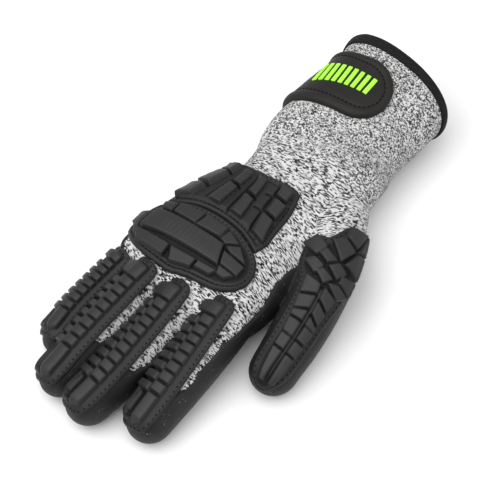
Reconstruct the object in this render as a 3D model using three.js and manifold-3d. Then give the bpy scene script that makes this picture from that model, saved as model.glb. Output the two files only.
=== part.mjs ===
// A right-hand impact work glove, laid palm down as a hand leaves it: a knitted shell with five hollow
// fingers, a nitrile coat dipped over its palm side, moulded rubber guards on the back, a wrist tab and a
// bound hem. Millimetres, +Z up. The fingers point to -Y, the cuff to +Y and the thumb to +X.
import * as THREE from "three";
import { mergeVertices } from "three/addons/utils/BufferGeometryUtils.js";
import Module from "manifold-3d";

const wasm = await Module();
wasm.setup();

// Driving sizes of the shell, the coat and the hem
const KNIT_WALL = 1.5;
const COAT_WALL = 0.8;
const SEAT_GAP = 0.3;
const HAND_LENGTH = 202;
const CUFF_LENGTH = 60;
const PALM_WIDTH = 86;
const PALM_DEPTH = 36;
const CUFF_WIDTH = 72;
const CUFF_DEPTH = 46;
const FINGER_WIDTH = 21;
const FINGER_DEPTH = 22;
const THUMB_WIDTH = 24;
const THUMB_DEPTH = 22;
const HEM_SLANT = 6;
const HEM_CROWN = 4;
const BINDING_WIDTH = 5;
const BINDING_WALL = 0.8;
const TAB_WALL = 2.5;

// Driving sizes of the rubber guards
const GUARD_SHEET = 1.5;
const BLOCK_HEIGHT = 3;
const BLOCK_DRAFT = 0.5;
const BLOCK_ROOT = 0.8;
const GUARD_CLEARANCE = 0.5;
const GUARD_LIFT = 0.6;

const COAT_OFFSET = SEAT_GAP + COAT_WALL;
const KNIT_FLOOR = COAT_OFFSET;

// Facets round and along each tube
const PALM_FACETS = 18;
const FINGER_FACETS = 10;
const PALM_STEP = 25;
const FINGER_STEP = 30;
const DOME_RINGS = 2;
const DOME_END = 0.35;
const FACET_CLEANUP = 0.05;
const ARC_STEPS = 64;
const LENGTH_STEPS = 200;
const WELD = 1e-4;

// How far a cutting body runs on past what it cuts
const OVERCUT = 1;
const PAST_HEM = 8;

// Rows of the hand's main tube, hem first. On cuff rows along, width and depth are shares of the cuff's
// length, width and depth, and on hand rows of the hand's length and the palm's width and depth. across
// and lift are shares of the palm's width and depth, and power is the squareness of the section.
const PALM_ROWS = [
  { cuff: true, along: 1.0, across: -0.032, width: 1.0, depth: 1.0, lift: -0.03, power: 2.2 },
  { cuff: true, along: 0.66, across: -0.01, width: 0.945, depth: 0.98, lift: -0.03, power: 2.2 },
  { cuff: true, along: 0.3, across: -0.025, width: 0.97, depth: 0.96, lift: -0.03, power: 2.2 },
  { cuff: false, along: 0.0, across: -0.02, width: 0.87, depth: 1.14, lift: -0.03, power: 2.3 },
  { cuff: false, along: 0.1, across: 0.05, width: 0.78, depth: 1.08, lift: -0.03, power: 2.4 },
  { cuff: false, along: 0.223, across: 0.062, width: 0.805, depth: 1.02, lift: -0.03, power: 2.5 },
  { cuff: false, along: 0.346, across: 0.022, width: 0.9, depth: 1.01, lift: -0.03, power: 2.6 },
  { cuff: false, along: 0.47, across: -0.01, width: 0.97, depth: 0.95, lift: 0.04, power: 2.6 },
  { cuff: false, along: 0.56, across: -0.02, width: 0.945, depth: 0.79, lift: 0.15, power: 2.5 },
];
const PALM_DOME = 0.3;

// Rows of each finger's tube, from inside the palm to the centre of its domed tip. along, across and rise
// are shares of the hand's length and the palm's width and depth, and width and depth are shares of the
// finger's own. roll is in degrees, with the back of the finger leaning to the thumb where it is positive.
const FINGER_ROWS = {
  little: [
    { along: 0.42, across: -0.34, rise: 0.44, width: 0.9, depth: 0.9, roll: -26 },
    { along: 0.525, across: -0.355, rise: 0.5, width: 0.85, depth: 0.96, roll: -30 },
    { along: 0.64, across: -0.38, rise: 0.38, width: 0.78, depth: 0.9, roll: -34 },
    { along: 0.75, across: -0.384, rise: 0.31, width: 0.78, depth: 0.87, roll: -34 },
    { along: 0.82, across: -0.374, rise: 0.27, width: 0.78, depth: 0.82, roll: -32 },
  ],
  ring: [
    { along: 0.42, across: -0.14, rise: 0.5, width: 0.95, depth: 1.0, roll: -27 },
    { along: 0.55, across: -0.163, rise: 0.62, width: 0.96, depth: 1.08, roll: -30 },
    { along: 0.69, across: -0.178, rise: 0.5, width: 0.94, depth: 1.04, roll: -31 },
    { along: 0.82, across: -0.186, rise: 0.39, width: 0.92, depth: 0.95, roll: -31 },
    { along: 0.903, across: -0.19, rise: 0.3, width: 0.88, depth: 0.88, roll: -29 },
  ],
  middle: [
    { along: 0.42, across: 0.06, rise: 0.58, width: 0.95, depth: 1.0, roll: -30 },
    { along: 0.55, across: 0.075, rise: 0.66, width: 1.0, depth: 1.1, roll: -32 },
    { along: 0.69, across: 0.083, rise: 0.52, width: 0.98, depth: 1.06, roll: -30 },
    { along: 0.825, across: 0.07, rise: 0.4, width: 1.0, depth: 0.97, roll: -22 },
    { along: 0.912, across: 0.05, rise: 0.31, width: 1.0, depth: 0.9, roll: -18 },
  ],
  index: [
    { along: 0.4, across: 0.28, rise: 0.56, width: 0.95, depth: 1.0, roll: -31 },
    { along: 0.525, across: 0.325, rise: 0.64, width: 1.1, depth: 1.1, roll: -29 },
    { along: 0.65, across: 0.357, rise: 0.52, width: 1.05, depth: 1.06, roll: -29 },
    { along: 0.77, across: 0.375, rise: 0.41, width: 1.04, depth: 0.98, roll: -24 },
    { along: 0.848, across: 0.38, rise: 0.31, width: 1.02, depth: 0.9, roll: -22 },
  ],
  thumb: [
    { along: 0.0, across: 0.14, rise: 0.5, width: 1.2, depth: 1.3, roll: -6 },
    { along: 0.12, across: 0.3, rise: 0.54, width: 1.42, depth: 1.46, roll: 0 },
    { along: 0.255, across: 0.5, rise: 0.58, width: 1.3, depth: 1.34, roll: 3 },
    { along: 0.36, across: 0.607, rise: 0.54, width: 1.12, depth: 1.14, roll: 4 },
    { along: 0.46, across: 0.66, rise: 0.44, width: 1.06, depth: 1.04, roll: 4 },
    { along: 0.55, across: 0.69, rise: 0.31, width: 0.96, depth: 0.93, roll: 2 },
  ],
};
const FINGER_DOME = 0.5;
const FINGER_POWER = 2.2;

// The least room between two fingers' coats, and where along the hand it is measured
const FINGER_GAP = 0.6;
const GAP_ROWS = [0.58, 0.76];
const HALVINGS = 24;

// The value of a column a share t of the way through a table, on a smooth curve through its rows
function alongRows(values, t) {
  const last = values.length - 1;
  const place = Math.min(Math.max(t, 0), 1) * last;
  const i = Math.min(Math.floor(place), last - 1);
  const at = (k) => values[Math.min(Math.max(k, 0), last)];
  const f = place - i;
  const [a, b, c, d] = [at(i - 1), at(i), at(i + 1), at(i + 2)];
  return b + 0.5 * f * (c - a + f * (2 * a - 5 * b + 4 * c - d + f * (3 * (b - c) + d - a)));
}

// A tube round a curved centreline, with superellipse sections and a domed far end. A point on it has a
// station in mm from the first row, a distance in mm across the back from the crest, positive to the
// thumb's side, and an offset in mm out of the surface. Nothing of it lies under the floor.
class Tube {
  constructor(rows, dome) {
    this.rows = rows;
    this.dome = dome;
    this.line = new THREE.CatmullRomCurve3(rows.map((r) => r.centre), false, "catmullrom", 0.5);
    this.line.arcLengthDivisions = LENGTH_STEPS;
    this.length = this.line.getLength();
  }

  // The section at a station: its centre, its frame, and its half width and half depth
  section(station) {
    const u = Math.min(Math.max(station / this.length, 0), 1);
    const t = this.line.getUtoTmapping(u);
    const column = (name) => alongRows(this.rows.map((r) => r[name]), t);
    const heading = this.line.getTangent(t);
    const roll = THREE.MathUtils.degToRad(column("roll"));
    const lean = new THREE.Vector3(Math.sin(roll), 0, Math.cos(roll));
    const side = new THREE.Vector3().crossVectors(heading, lean).normalize();
    const top = new THREE.Vector3().crossVectors(side, heading).normalize();
    const centre = this.line.getPoint(t);
    if (station < 0) centre.addScaledVector(heading, station);
    return {
      centre,
      heading,
      side: side.negate(),
      top,
      halfWidth: column("halfWidth"),
      halfDepth: column("halfDepth"),
      power: column("power"),
      shear: column("shear"),
    };
  }

  // A point of the section's outline at an angle from the crest, pushed out by the offset along its normal
  outline(section, angle, offset) {
    const { halfWidth: a, halfDepth: b, power } = section;
    const [s, c] = [Math.sin(angle), Math.cos(angle)];
    const x = a * Math.sign(s) * Math.abs(s) ** (2 / power);
    const z = b * Math.sign(c) * Math.abs(c) ** (2 / power);
    const nx = (Math.sign(x) * Math.abs(x / a) ** (power - 1)) / a;
    const nz = (Math.sign(z) * Math.abs(z / b) ** (power - 1)) / b;
    const size = Math.hypot(nx, nz);
    return new THREE.Vector2(x + (offset * nx) / size, z + (offset * nz) / size);
  }

  // The angle from the crest at which the outline has run the given distance
  angleAt(section, across) {
    let [run, angle] = [0, 0];
    let from = this.outline(section, 0, 0);
    const step = Math.PI / ARC_STEPS;
    while (angle < Math.PI) {
      const to = this.outline(section, angle + step, 0);
      const leg = to.distanceTo(from);
      if (run + leg >= Math.abs(across)) {
        return Math.sign(across) * (angle + (step * (Math.abs(across) - run)) / leg);
      }
      [run, angle, from] = [run + leg, angle + step, to];
    }
    return Math.sign(across) * Math.PI;
  }

  // A point at a station, an angle from the crest and an offset out of the surface
  pointAt(station, angle, offset) {
    const section = this.section(station);
    const beyond = Math.max(0, station - this.length) / this.dome;
    const [shrink, reach] = [Math.cos(beyond), Math.sin(beyond) * (this.dome + offset)];
    const flat = this.outline(section, angle, offset).multiplyScalar(shrink);
    const point = section.centre
      .clone()
      .addScaledVector(section.side, flat.x)
      .addScaledVector(section.top, flat.y)
      .addScaledVector(section.heading, reach);
    const [high, out] = [flat.y / section.halfDepth, flat.x / section.halfWidth];
    point.y += section.shear * (HEM_CROWN * high - HEM_SLANT * out);
    point.z = Math.max(point.z, KNIT_FLOOR - offset);
    return point;
  }

  // The same for a distance across the back instead of an angle
  point(station, across, offset) {
    const angle = this.angleAt(this.section(Math.min(station, this.length)), across);
    return this.pointAt(station, angle, offset);
  }
}

// A closed body from rings of points, each ring closed on itself, with flat or pointed ends
function loft(rings) {
  const [points, faces] = [rings.flat(), []];
  const n = rings[0].length;
  for (let i = 0; i + 1 < rings.length; i++) {
    for (let j = 0; j < n; j++) {
      const [a, b] = [i * n + j, i * n + ((j + 1) % n)];
      faces.push([a, b, a + n], [b, b + n, a + n]);
    }
  }
  const cap = (first, flip) => {
    const middle = new THREE.Vector3();
    for (let j = 0; j < n; j++) middle.addScaledVector(points[first + j], 1 / n);
    points.push(middle);
    for (let j = 0; j < n; j++) {
      const [a, b] = [first + j, first + ((j + 1) % n)];
      faces.push(flip ? [b, a, points.length - 1] : [a, b, points.length - 1]);
    }
  };
  cap(0, true);
  cap((rings.length - 1) * n, false);
  return solidFrom(points, faces);
}

// A manifold solid from points and triangles, turned to face out
function solidFrom(points, faces) {
  const geometry = new THREE.BufferGeometry().setFromPoints(faces.flat().map((i) => points[i]));
  const merged = mergeVertices(geometry, WELD);
  const triVerts = new Uint32Array(merged.index.array);
  const vertProperties = merged.attributes.position.array;
  const made = new wasm.Manifold(new wasm.Mesh({ numProp: 3, vertProperties, triVerts }));
  if (made.volume() > 0) return made;
  for (let i = 0; i < triVerts.length; i += 3) triVerts.subarray(i, i + 3).reverse();
  return new wasm.Manifold(new wasm.Mesh({ numProp: 3, vertProperties, triVerts }));
}

// A tube as a solid, offset out of its surface, or into it where negative, and longer by a lead before
// its start
function tubeSolid(tube, facets, offset, lead, stationStep) {
  const count = Math.round(tube.length / stationStep);
  const stations = lead ? [-lead] : [];
  for (let i = 0; i <= count; i++) stations.push((tube.length * i) / count);
  for (let i = 1; i <= DOME_RINGS; i++) {
    stations.push(tube.length + ((tube.dome * Math.PI) / 2) * (i / (DOME_RINGS + DOME_END)));
  }
  const angles = Array.from({ length: facets }, (_, j) => (2 * Math.PI * j) / facets);
  return loft(stations.map((s) => angles.map((angle) => tube.pointAt(s, angle, offset))));
}

// The hand's main tube, from the hem to the finger crotches
function palmTube() {
  const rows = PALM_ROWS.map((r) => {
    const depth = r.depth * (r.cuff ? CUFF_DEPTH : PALM_DEPTH);
    const width = r.width * (r.cuff ? CUFF_WIDTH : PALM_WIDTH);
    const y = r.cuff ? r.along * CUFF_LENGTH : -r.along * HAND_LENGTH;
    const centre = new THREE.Vector3(r.across * PALM_WIDTH, y, KNIT_FLOOR + r.lift * PALM_DEPTH + depth / 2);
    const shear = r.cuff ? r.along : 0;
    return { centre, halfWidth: width / 2, halfDepth: depth / 2, power: r.power, roll: 0, shear };
  });
  return new Tube(rows, PALM_DOME * PALM_DEPTH);
}

// One finger's tube, from inside the palm to its tip
function fingerTube(name) {
  const [width, depth] = name === "thumb" ? [THUMB_WIDTH, THUMB_DEPTH] : [FINGER_WIDTH, FINGER_DEPTH];
  const rows = FINGER_ROWS[name].map((r) => ({
    centre: new THREE.Vector3(r.across * PALM_WIDTH, -r.along * HAND_LENGTH, r.rise * PALM_DEPTH),
    halfWidth: (r.width * width) / 2,
    halfDepth: (r.depth * depth) / 2,
    power: FINGER_POWER,
    roll: r.roll,
    shear: 0,
  }));
  return new Tube(rows, FINGER_DOME * width);
}

const palm = palmTube();
const fingers = Object.fromEntries(Object.keys(FINGER_ROWS).map((name) => [name, fingerTube(name)]));

// The station at which a tube's centreline passes a share of the hand's length
function stationAt(tube, along) {
  let [low, high] = [0, tube.length];
  for (let i = 0; i < HALVINGS; i++) {
    const half = (low + high) / 2;
    if (tube.section(half).centre.y > -along * HAND_LENGTH) low = half;
    else high = half;
  }
  return low;
}

// The plane midway between two neighbouring fingers, with its normal towards the second
function partingPlane(first, second) {
  const [root, tip] = GAP_ROWS.map((along) => {
    const [a, b] = [first, second].map((tube) => tube.section(stationAt(tube, along)));
    const share = a.halfWidth / (a.halfWidth + b.halfWidth);
    return { spot: a.centre.clone().lerp(b.centre, share), apart: b.centre.clone().sub(a.centre) };
  });
  const run = tip.spot.clone().sub(root.spot).normalize();
  const apart = root.apart.clone().add(tip.apart);
  const normal = apart.addScaledVector(run, -apart.dot(run)).normalize();
  return { normal, distance: normal.dot(root.spot) };
}

const ROW_OF_FINGERS = ["little", "ring", "middle", "index"];
const partings = ROW_OF_FINGERS.slice(1).map((name, i) =>
  partingPlane(fingers[ROW_OF_FINGERS[i]], fingers[name]),
);

// A finger as a solid at an offset, kept on its own side of the planes between it and its neighbours
function fingerSolid(name, offset) {
  const place = ROW_OF_FINGERS.indexOf(name);
  const room = FINGER_GAP / 2 + COAT_OFFSET - offset;
  let solid = tubeSolid(fingers[name], FINGER_FACETS, offset, 0, FINGER_STEP);
  partings.forEach(({ normal, distance }, i) => {
    if (i === place) solid = solid.trimByPlane(normal.clone().negate().toArray(), room - distance);
    if (i === place - 1) solid = solid.trimByPlane(normal.toArray(), room + distance);
  });
  return solid;
}

// The whole hand's solid at an offset from the knit's outer face, open past the hem by the given length
function handSolid(offset, pastHem) {
  return Object.keys(fingers).reduce(
    (all, name) => all.add(fingerSolid(name, offset)),
    tubeSolid(palm, PALM_FACETS, offset, pastHem, PALM_STEP),
  );
}

function meshOf(name, solid, material) {
  const made = solid.simplify(FACET_CLEANUP).getMesh();
  const geometry = new THREE.BufferGeometry();
  const positions = new Float32Array(made.numVert * 3);
  for (let i = 0; i < made.numVert; i++) {
    positions.set(made.vertProperties.subarray(i * made.numProp, i * made.numProp + 3), i * 3);
  }
  geometry.setAttribute("position", new THREE.BufferAttribute(positions, 3));
  geometry.setIndex(new THREE.BufferAttribute(made.triVerts, 1));
  const mesh = new THREE.Mesh(geometry, material);
  mesh.name = name;
  return mesh;
}

// A guard's outline, as two edges with the same number of points. across is in shares of the palm's width,
// or of the thumb's for its guard, and along in shares of the tube's length. Each row of a block table
// holds the four corners of one raised block in the same shares.
const KNUCKLE_OUTLINE = {
  near: {
    across: [-0.535, -0.494, -0.401, -0.314, -0.227, -0.126, 0.006, 0.122, 0.231, 0.297, 0.321],
    along: [0.915, 0.875, 0.843, 0.818, 0.803, 0.789, 0.781, 0.789, 0.805, 0.837, 0.869],
  },
  far: {
    across: [-0.530, -0.500, -0.419, -0.326, -0.174, -0.058, 0.019, 0.116, 0.227, 0.302, 0.323],
    along: [0.938, 0.972, 1.003, 1.015, 1.017, 1.014, 0.994, 0.982, 0.966, 0.930, 0.892],
  },
};
const KNUCKLE_BLOCKS = [
  { across: [-0.495, -0.423, -0.423, -0.484], along: [0.907, 0.903, 0.957, 0.959] },
  { across: [-0.412, -0.337, -0.330, -0.393], along: [0.863, 0.850, 0.878, 0.882] },
  { across: [-0.321, -0.170, -0.163, -0.314], along: [0.843, 0.823, 0.871, 0.880] },
  { across: [-0.153, -0.005, 0.000, -0.151], along: [0.821, 0.811, 0.846, 0.864] },
  { across: [0.012, 0.114, 0.058, 0.012], along: [0.811, 0.822, 0.851, 0.847] },
  { across: [0.133, 0.228, 0.122, 0.077], along: [0.826, 0.853, 0.860, 0.854] },
  { across: [0.091, 0.240, 0.251, 0.135], along: [0.869, 0.863, 0.898, 0.904] },
  { across: [0.140, 0.240, 0.209, 0.163], along: [0.912, 0.906, 0.932, 0.935] },
  { across: [-0.402, 0.053, 0.128, -0.402], along: [0.894, 0.855, 0.912, 0.952] },
  { across: [-0.407, -0.167, -0.156, -0.360], along: [0.967, 0.958, 0.995, 0.997] },
  { across: [-0.149, 0.012, 0.016, -0.100], along: [0.958, 0.944, 0.970, 0.994] },
  { across: [0.030, 0.151, 0.135, 0.035], along: [0.942, 0.931, 0.951, 0.960] },
];
const METACARPAL_OUTLINE = {
  near: {
    across: [-0.442, -0.343, -0.242, -0.126, -0.023, 0.035, 0.099],
    along: [0.566, 0.567, 0.573, 0.568, 0.559, 0.556, 0.567],
  },
  far: {
    across: [-0.488, -0.384, -0.291, -0.174, -0.047, 0.070, 0.240],
    along: [0.863, 0.835, 0.810, 0.791, 0.780, 0.780, 0.803],
  },
};
const METACARPAL_BLOCKS = [
  { across: [-0.413, -0.330, -0.337, -0.421], along: [0.589, 0.585, 0.648, 0.655] },
  { across: [-0.426, -0.340, -0.353, -0.440], along: [0.665, 0.660, 0.730, 0.738] },
  { across: [-0.442, -0.358, -0.365, -0.447], along: [0.749, 0.741, 0.795, 0.818] },
  { across: [-0.260, -0.212, -0.202, -0.253], along: [0.604, 0.601, 0.675, 0.678] },
  { across: [-0.256, -0.198, -0.179, -0.249], along: [0.692, 0.689, 0.763, 0.772] },
  { across: [-0.163, -0.116, -0.081, -0.137], along: [0.599, 0.597, 0.667, 0.669] },
  { across: [-0.128, -0.070, -0.019, -0.093], along: [0.685, 0.683, 0.750, 0.755] },
  { across: [-0.014, 0.053, 0.063, -0.005], along: [0.577, 0.577, 0.614, 0.616] },
  { across: [0.007, 0.086, 0.109, 0.035], along: [0.629, 0.625, 0.672, 0.676] },
  { across: [0.035, 0.114, 0.179, 0.093], along: [0.689, 0.685, 0.760, 0.754] },
];
const THUMB_OUTLINE = {
  near: {
    across: [
      0.275, 0.117, -0.075, -0.271, -0.471, -0.575, -0.612,
      -0.567, -0.421, -0.408, -0.367, -0.367, -0.267,
    ],
    along: [0.385, 0.419, 0.452, 0.436, 0.456, 0.494, 0.543, 0.596, 0.642, 0.746, 0.843, 0.989, 1.089],
  },
  far: {
    across: [0.396, 0.625, 0.800, 0.775, 0.733, 0.692, 0.658, 0.617, 0.542, 0.454, 0.438, 0.425, 0.308],
    along: [0.370, 0.371, 0.381, 0.421, 0.470, 0.527, 0.579, 0.640, 0.689, 0.754, 0.843, 0.989, 1.089],
  },
};
const THUMB_BLOCKS = [
  { across: [0.325, 0.658, 0.475, 0.275], along: [0.394, 0.391, 0.465, 0.438] },
  { across: [0.025, 0.225, 0.425, 0.233], along: [0.467, 0.449, 0.486, 0.538] },
  { across: [0.508, 0.683, 0.633, 0.333], along: [0.488, 0.486, 0.570, 0.543] },
  { across: [-0.492, -0.267, -0.067, -0.217], along: [0.486, 0.452, 0.498, 0.535] },
  { across: [-0.150, -0.058, 0.158, 0.008], along: [0.530, 0.507, 0.545, 0.559] },
  { across: [0.058, 0.208, 0.367, 0.250], along: [0.570, 0.553, 0.577, 0.608] },
  { across: [-0.392, -0.217, -0.042, -0.158], along: [0.561, 0.549, 0.577, 0.611] },
  { across: [-0.125, -0.025, 0.175, 0.058], along: [0.603, 0.587, 0.616, 0.640] },
  { across: [0.342, 0.600, 0.567, 0.317], along: [0.592, 0.587, 0.642, 0.616] },
  { across: [0.150, 0.300, 0.517, 0.367], along: [0.635, 0.629, 0.652, 0.676] },
  { across: [-0.258, 0.017, 0.033, -0.242], along: [0.626, 0.650, 0.684, 0.699] },
  { across: [0.125, 0.350, 0.308, 0.125], along: [0.658, 0.686, 0.728, 0.699] },
  { across: [-0.242, 0.025, 0.025, -0.208], along: [0.713, 0.700, 0.746, 0.765] },
  { across: [0.125, 0.300, 0.292, 0.125], along: [0.716, 0.744, 0.788, 0.758] },
  { across: [-0.200, 0.025, 0.025, -0.192], along: [0.776, 0.762, 0.799, 0.796] },
  { across: [0.133, 0.292, 0.283, 0.133], along: [0.778, 0.805, 0.818, 0.809] },
  { across: [-0.183, 0.025, 0.025, -0.158], along: [0.809, 0.814, 0.870, 0.864] },
  { across: [0.142, 0.292, 0.275, 0.133], along: [0.818, 0.828, 0.877, 0.870] },
  { across: [-0.150, 0.025, 0.025, -0.142], along: [0.875, 0.880, 0.927, 0.924] },
  { across: [0.133, 0.283, 0.267, 0.133], along: [0.883, 0.890, 0.935, 0.930] },
  { across: [-0.133, 0.025, 0.017, -0.075], along: [0.937, 0.940, 1.057, 1.057] },
  { across: [0.133, 0.267, 0.233, 0.142], along: [0.943, 0.946, 1.057, 1.057] },
];

// The wrist tab's two edges, from its hidden end on the little finger's side to its rounded end on the back
const TAB_OUTLINE = {
  near: {
    across: [-0.674, -0.57, -0.465, -0.39, -0.314, -0.25, -0.186, -0.081, 0.012, 0.081, 0.133, 0.156],
    along: [0.091, 0.087, 0.083, 0.082, 0.081, 0.081, 0.081, 0.074, 0.085, 0.106, 0.135, 0.172],
  },
  far: {
    across: [-0.674, -0.57, -0.465, -0.39, -0.314, -0.25, -0.186, -0.081, 0.012, 0.081, 0.133, 0.155],
    along: [0.297, 0.296, 0.294, 0.291, 0.288, 0.284, 0.279, 0.273, 0.268, 0.255, 0.231, 0.197],
  },
};

// The finger guards: where each starts and ends in shares of its tube's length, its first and last cross
// slot, the number of blocks between them, and its width as a share of the full one
const FINGER_GUARDS = {
  little: { start: 0.374, end: 1.09, firstSlot: 0.475, lastSlot: 0.893, blocks: 7, width: 0.88 },
  ring: { start: 0.308, end: 1.095, firstSlot: 0.426, lastSlot: 0.883, blocks: 8, width: 1 },
  middle: { start: 0.28, end: 1.095, firstSlot: 0.397, lastSlot: 0.912, blocks: 9, width: 1 },
  index: { start: 0.28, end: 1.1, firstSlot: 0.39, lastSlot: 0.888, blocks: 8, width: 1 },
};

// Rows of a finger guard's outline, in shares of its length and of the finger's width
const FINGER_GUARD_ROWS = [
  { along: 0, inner: -0.26, outer: 0.26 },
  { along: 0.022, inner: -0.39, outer: 0.39 },
  { along: 0.06, inner: -0.465, outer: 0.475 },
  { along: 0.25, inner: -0.47, outer: 0.485 },
  { along: 0.44, inner: -0.44, outer: 0.485 },
  { along: 0.63, inner: -0.42, outer: 0.485 },
  { along: 0.82, inner: -0.42, outer: 0.485 },
  { along: 0.94, inner: -0.4, outer: 0.475 },
  { along: 1, inner: -0.33, outer: 0.4 },
];

// The two columns of blocks on a finger guard, and whether the column runs on over the tip
const FINGER_COLUMNS = [
  { inner: -0.26, outer: -0.04, tipped: false },
  { inner: 0.015, outer: 0.265, tipped: true },
];

// Where the blocks start and end in shares of the finger guard's length, and their sizes
const FIRST_PAD = 0.05;
const TIP_PAD = 0.95;
const SLOT_WIDTH = 1.4;
const FINGER_BLOCK_HEIGHT = 2.3;
const BLOCK_FACET = 14;
const SHEET_STEPS = 3;
const WIDE_STEPS = 5;

// The points of an outline or block table in mm on its tube, across first
function cornersOf(table, width, length) {
  return table.across.map((across, i) => [across * width, table.along[i] * length]);
}

// A point between two others, and the distance from one to the other
const mix = (p, q, t) => [p[0] + (q[0] - p[0]) * t, p[1] + (q[1] - p[1]) * t];
const span = (p, q) => Math.hypot(p[0] - q[0], p[1] - q[1]);

// A grid of m by n points, each at the place that its two numbers give
function table(m, n, place) {
  return Array.from({ length: m }, (_, i) => Array.from({ length: n }, (_, j) => place(i, j)));
}

// A closed slab on a tube, from a grid of points at a low offset to a like grid at a high offset
function slab(tube, lowGrid, highGrid, low, high) {
  const lay = (grid, offset) => grid.flat().map(([across, station]) => tube.point(station, across, offset));
  const points = [...lay(lowGrid, low), ...lay(highGrid, high)];
  const [m, n] = [lowGrid.length, lowGrid[0].length];
  const id = (side, i, j) => (side * m + i) * n + j;
  const faces = [];
  for (let i = 0; i + 1 < m; i++) {
    for (let j = 0; j + 1 < n; j++) {
      const cell = [[i, j], [i, j + 1], [i + 1, j + 1], [i + 1, j]];
      const [a, b, c, d] = cell.map(([p, q]) => id(0, p, q));
      const [e, f, g, h] = cell.map(([p, q]) => id(1, p, q));
      faces.push([a, b, c], [a, c, d], [e, g, f], [e, h, g]);
    }
  }
  const rim = [];
  for (let j = 0; j < n; j++) rim.push([0, j]);
  for (let i = 1; i < m; i++) rim.push([i, n - 1]);
  for (let j = n - 2; j >= 0; j--) rim.push([m - 1, j]);
  for (let i = m - 2; i > 0; i--) rim.push([i, 0]);
  rim.forEach(([i, j], k) => {
    const [p, q] = rim[(k + 1) % rim.length];
    faces.push([id(0, i, j), id(1, i, j), id(1, p, q)], [id(0, i, j), id(1, p, q), id(0, p, q)]);
  });
  return solidFrom(points, faces);
}

// The grid of points between two edges, in the given number of steps from one to the other
function gridBetween(near, far, steps) {
  return near.map((p, i) => Array.from({ length: steps + 1 }, (_, k) => mix(p, far[i], k / steps)));
}

// One raised block on four corners, with drafted walls
function block(tube, [a, b, c, d], height) {
  const nu = Math.max(1, Math.round(Math.max(span(a, b), span(d, c)) / BLOCK_FACET));
  const nv = Math.max(1, Math.round(Math.max(span(a, d), span(b, c)) / (2 * BLOCK_FACET)));
  const place = (i, j) => mix(mix(a, b, i / nu), mix(d, c, i / nu), j / nv);
  const grid = table(nu + 1, nv + 1, place);
  const middle = mix(mix(a, b, 0.5), mix(d, c, 0.5), 0.5);
  const reach = Math.max(...[a, b, c, d].map((p) => span(p, middle)));
  const top = grid.map((row) => row.map((p) => mix(p, middle, BLOCK_DRAFT / reach)));
  return slab(tube, grid, top, GUARD_LIFT + BLOCK_ROOT, GUARD_LIFT + GUARD_SHEET + height);
}

// A guard: its sheet with the raised blocks on it
function guard({ tube, near, far, corners, height, steps }) {
  const grid = gridBetween(near, far, steps);
  const sheet = slab(tube, grid, grid, GUARD_LIFT, GUARD_LIFT + GUARD_SHEET);
  return corners.reduce((all, four) => all.add(block(tube, four, height)), sheet);
}

// The room that a guard needs round it, as deep as the coat
function guardRoom({ tube, near, far, steps }) {
  const grid = gridBetween(near, far, steps);
  const beside = (k, count) => (k === 0 ? 1 : k === count - 1 ? k - 1 : k);
  const wide = grid.map((row, i) =>
    row.map((p, j) => {
      const inward = [grid[beside(i, grid.length)][j], row[beside(j, row.length)]].filter((q) => q !== p);
      return inward.reduce(([w, s], q) => {
        const share = GUARD_CLEARANCE / span(p, q);
        return [w + share * (p[0] - q[0]), s + share * (p[1] - q[1])];
      }, p);
    }),
  );
  return slab(tube, wide, wide, -KNIT_WALL, GUARD_LIFT + GUARD_SHEET + GUARD_CLEARANCE);
}

// A finger guard's two edges and its blocks
function fingerGuardTables(name) {
  const tube = fingers[name];
  const { start, end, firstSlot, lastSlot, blocks, width } = FINGER_GUARDS[name];
  const [from, length] = [start * tube.length, (end - start) * tube.length];
  const full = width * FINGER_WIDTH;
  const edge = (side) => FINGER_GUARD_ROWS.map((r) => [r[side] * full, from + r.along * length]);
  const [first, last] = [firstSlot * tube.length, lastSlot * tube.length];
  const slots = Array.from({ length: blocks + 1 }, (_, i) => first + (i * (last - first)) / blocks);
  const starts = [from + FIRST_PAD * length, ...slots.map((s) => s + SLOT_WIDTH / 2)];
  const ends = [...slots.map((s) => s - SLOT_WIDTH / 2), from + TIP_PAD * length];
  const corners = FINGER_COLUMNS.flatMap(({ inner, outer, tipped }) => {
    const [w0, w1] = [inner * full, outer * full];
    const count = tipped ? starts.length : blocks + 1;
    return starts.slice(0, count).map((a, i) => [[w0, a], [w0, ends[i]], [w1, ends[i]], [w1, a]]);
  });
  return {
    tube,
    near: edge("inner"),
    far: edge("outer"),
    corners,
    height: FINGER_BLOCK_HEIGHT,
    steps: SHEET_STEPS,
  };
}

// A guard's tables from its outline and blocks
function guardTables(tube, outline, blocks, width) {
  const [near, far] = [outline.near, outline.far].map((edge) => cornersOf(edge, width, tube.length));
  const corners = blocks.map((table) => cornersOf(table, width, tube.length));
  return { tube, near, far, corners, height: BLOCK_HEIGHT, steps: WIDE_STEPS };
}

// The guards, in the order in which each makes room for the next
const GUARDS = {
  knuckle_guard: guardTables(palm, KNUCKLE_OUTLINE, KNUCKLE_BLOCKS, PALM_WIDTH),
  metacarpal_guard: guardTables(palm, METACARPAL_OUTLINE, METACARPAL_BLOCKS, PALM_WIDTH),
  little_guard: fingerGuardTables("little"),
  ring_guard: fingerGuardTables("ring"),
  middle_guard: fingerGuardTables("middle"),
  index_guard: fingerGuardTables("index"),
  thumb_guard: guardTables(fingers.thumb, THUMB_OUTLINE, THUMB_BLOCKS, THUMB_WIDTH),
};

// The line that the coat was dipped to, seen from the side: shares of the hand's length and the palm's depth
const DIP_LINE = [
  { along: 0.109, rise: -1 },
  { along: 0.109, rise: 0.28 },
  { along: 0.247, rise: 0.5 },
  { along: 0.346, rise: 0.69 },
  { along: 0.445, rise: 0.78 },
  { along: 0.668, rise: 0.75 },
  { along: 0.817, rise: 0.64 },
  { along: 0.866, rise: 1.4 },
  { along: 1.2, rise: 1.4 },
  { along: 1.2, rise: -1 },
];

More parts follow.
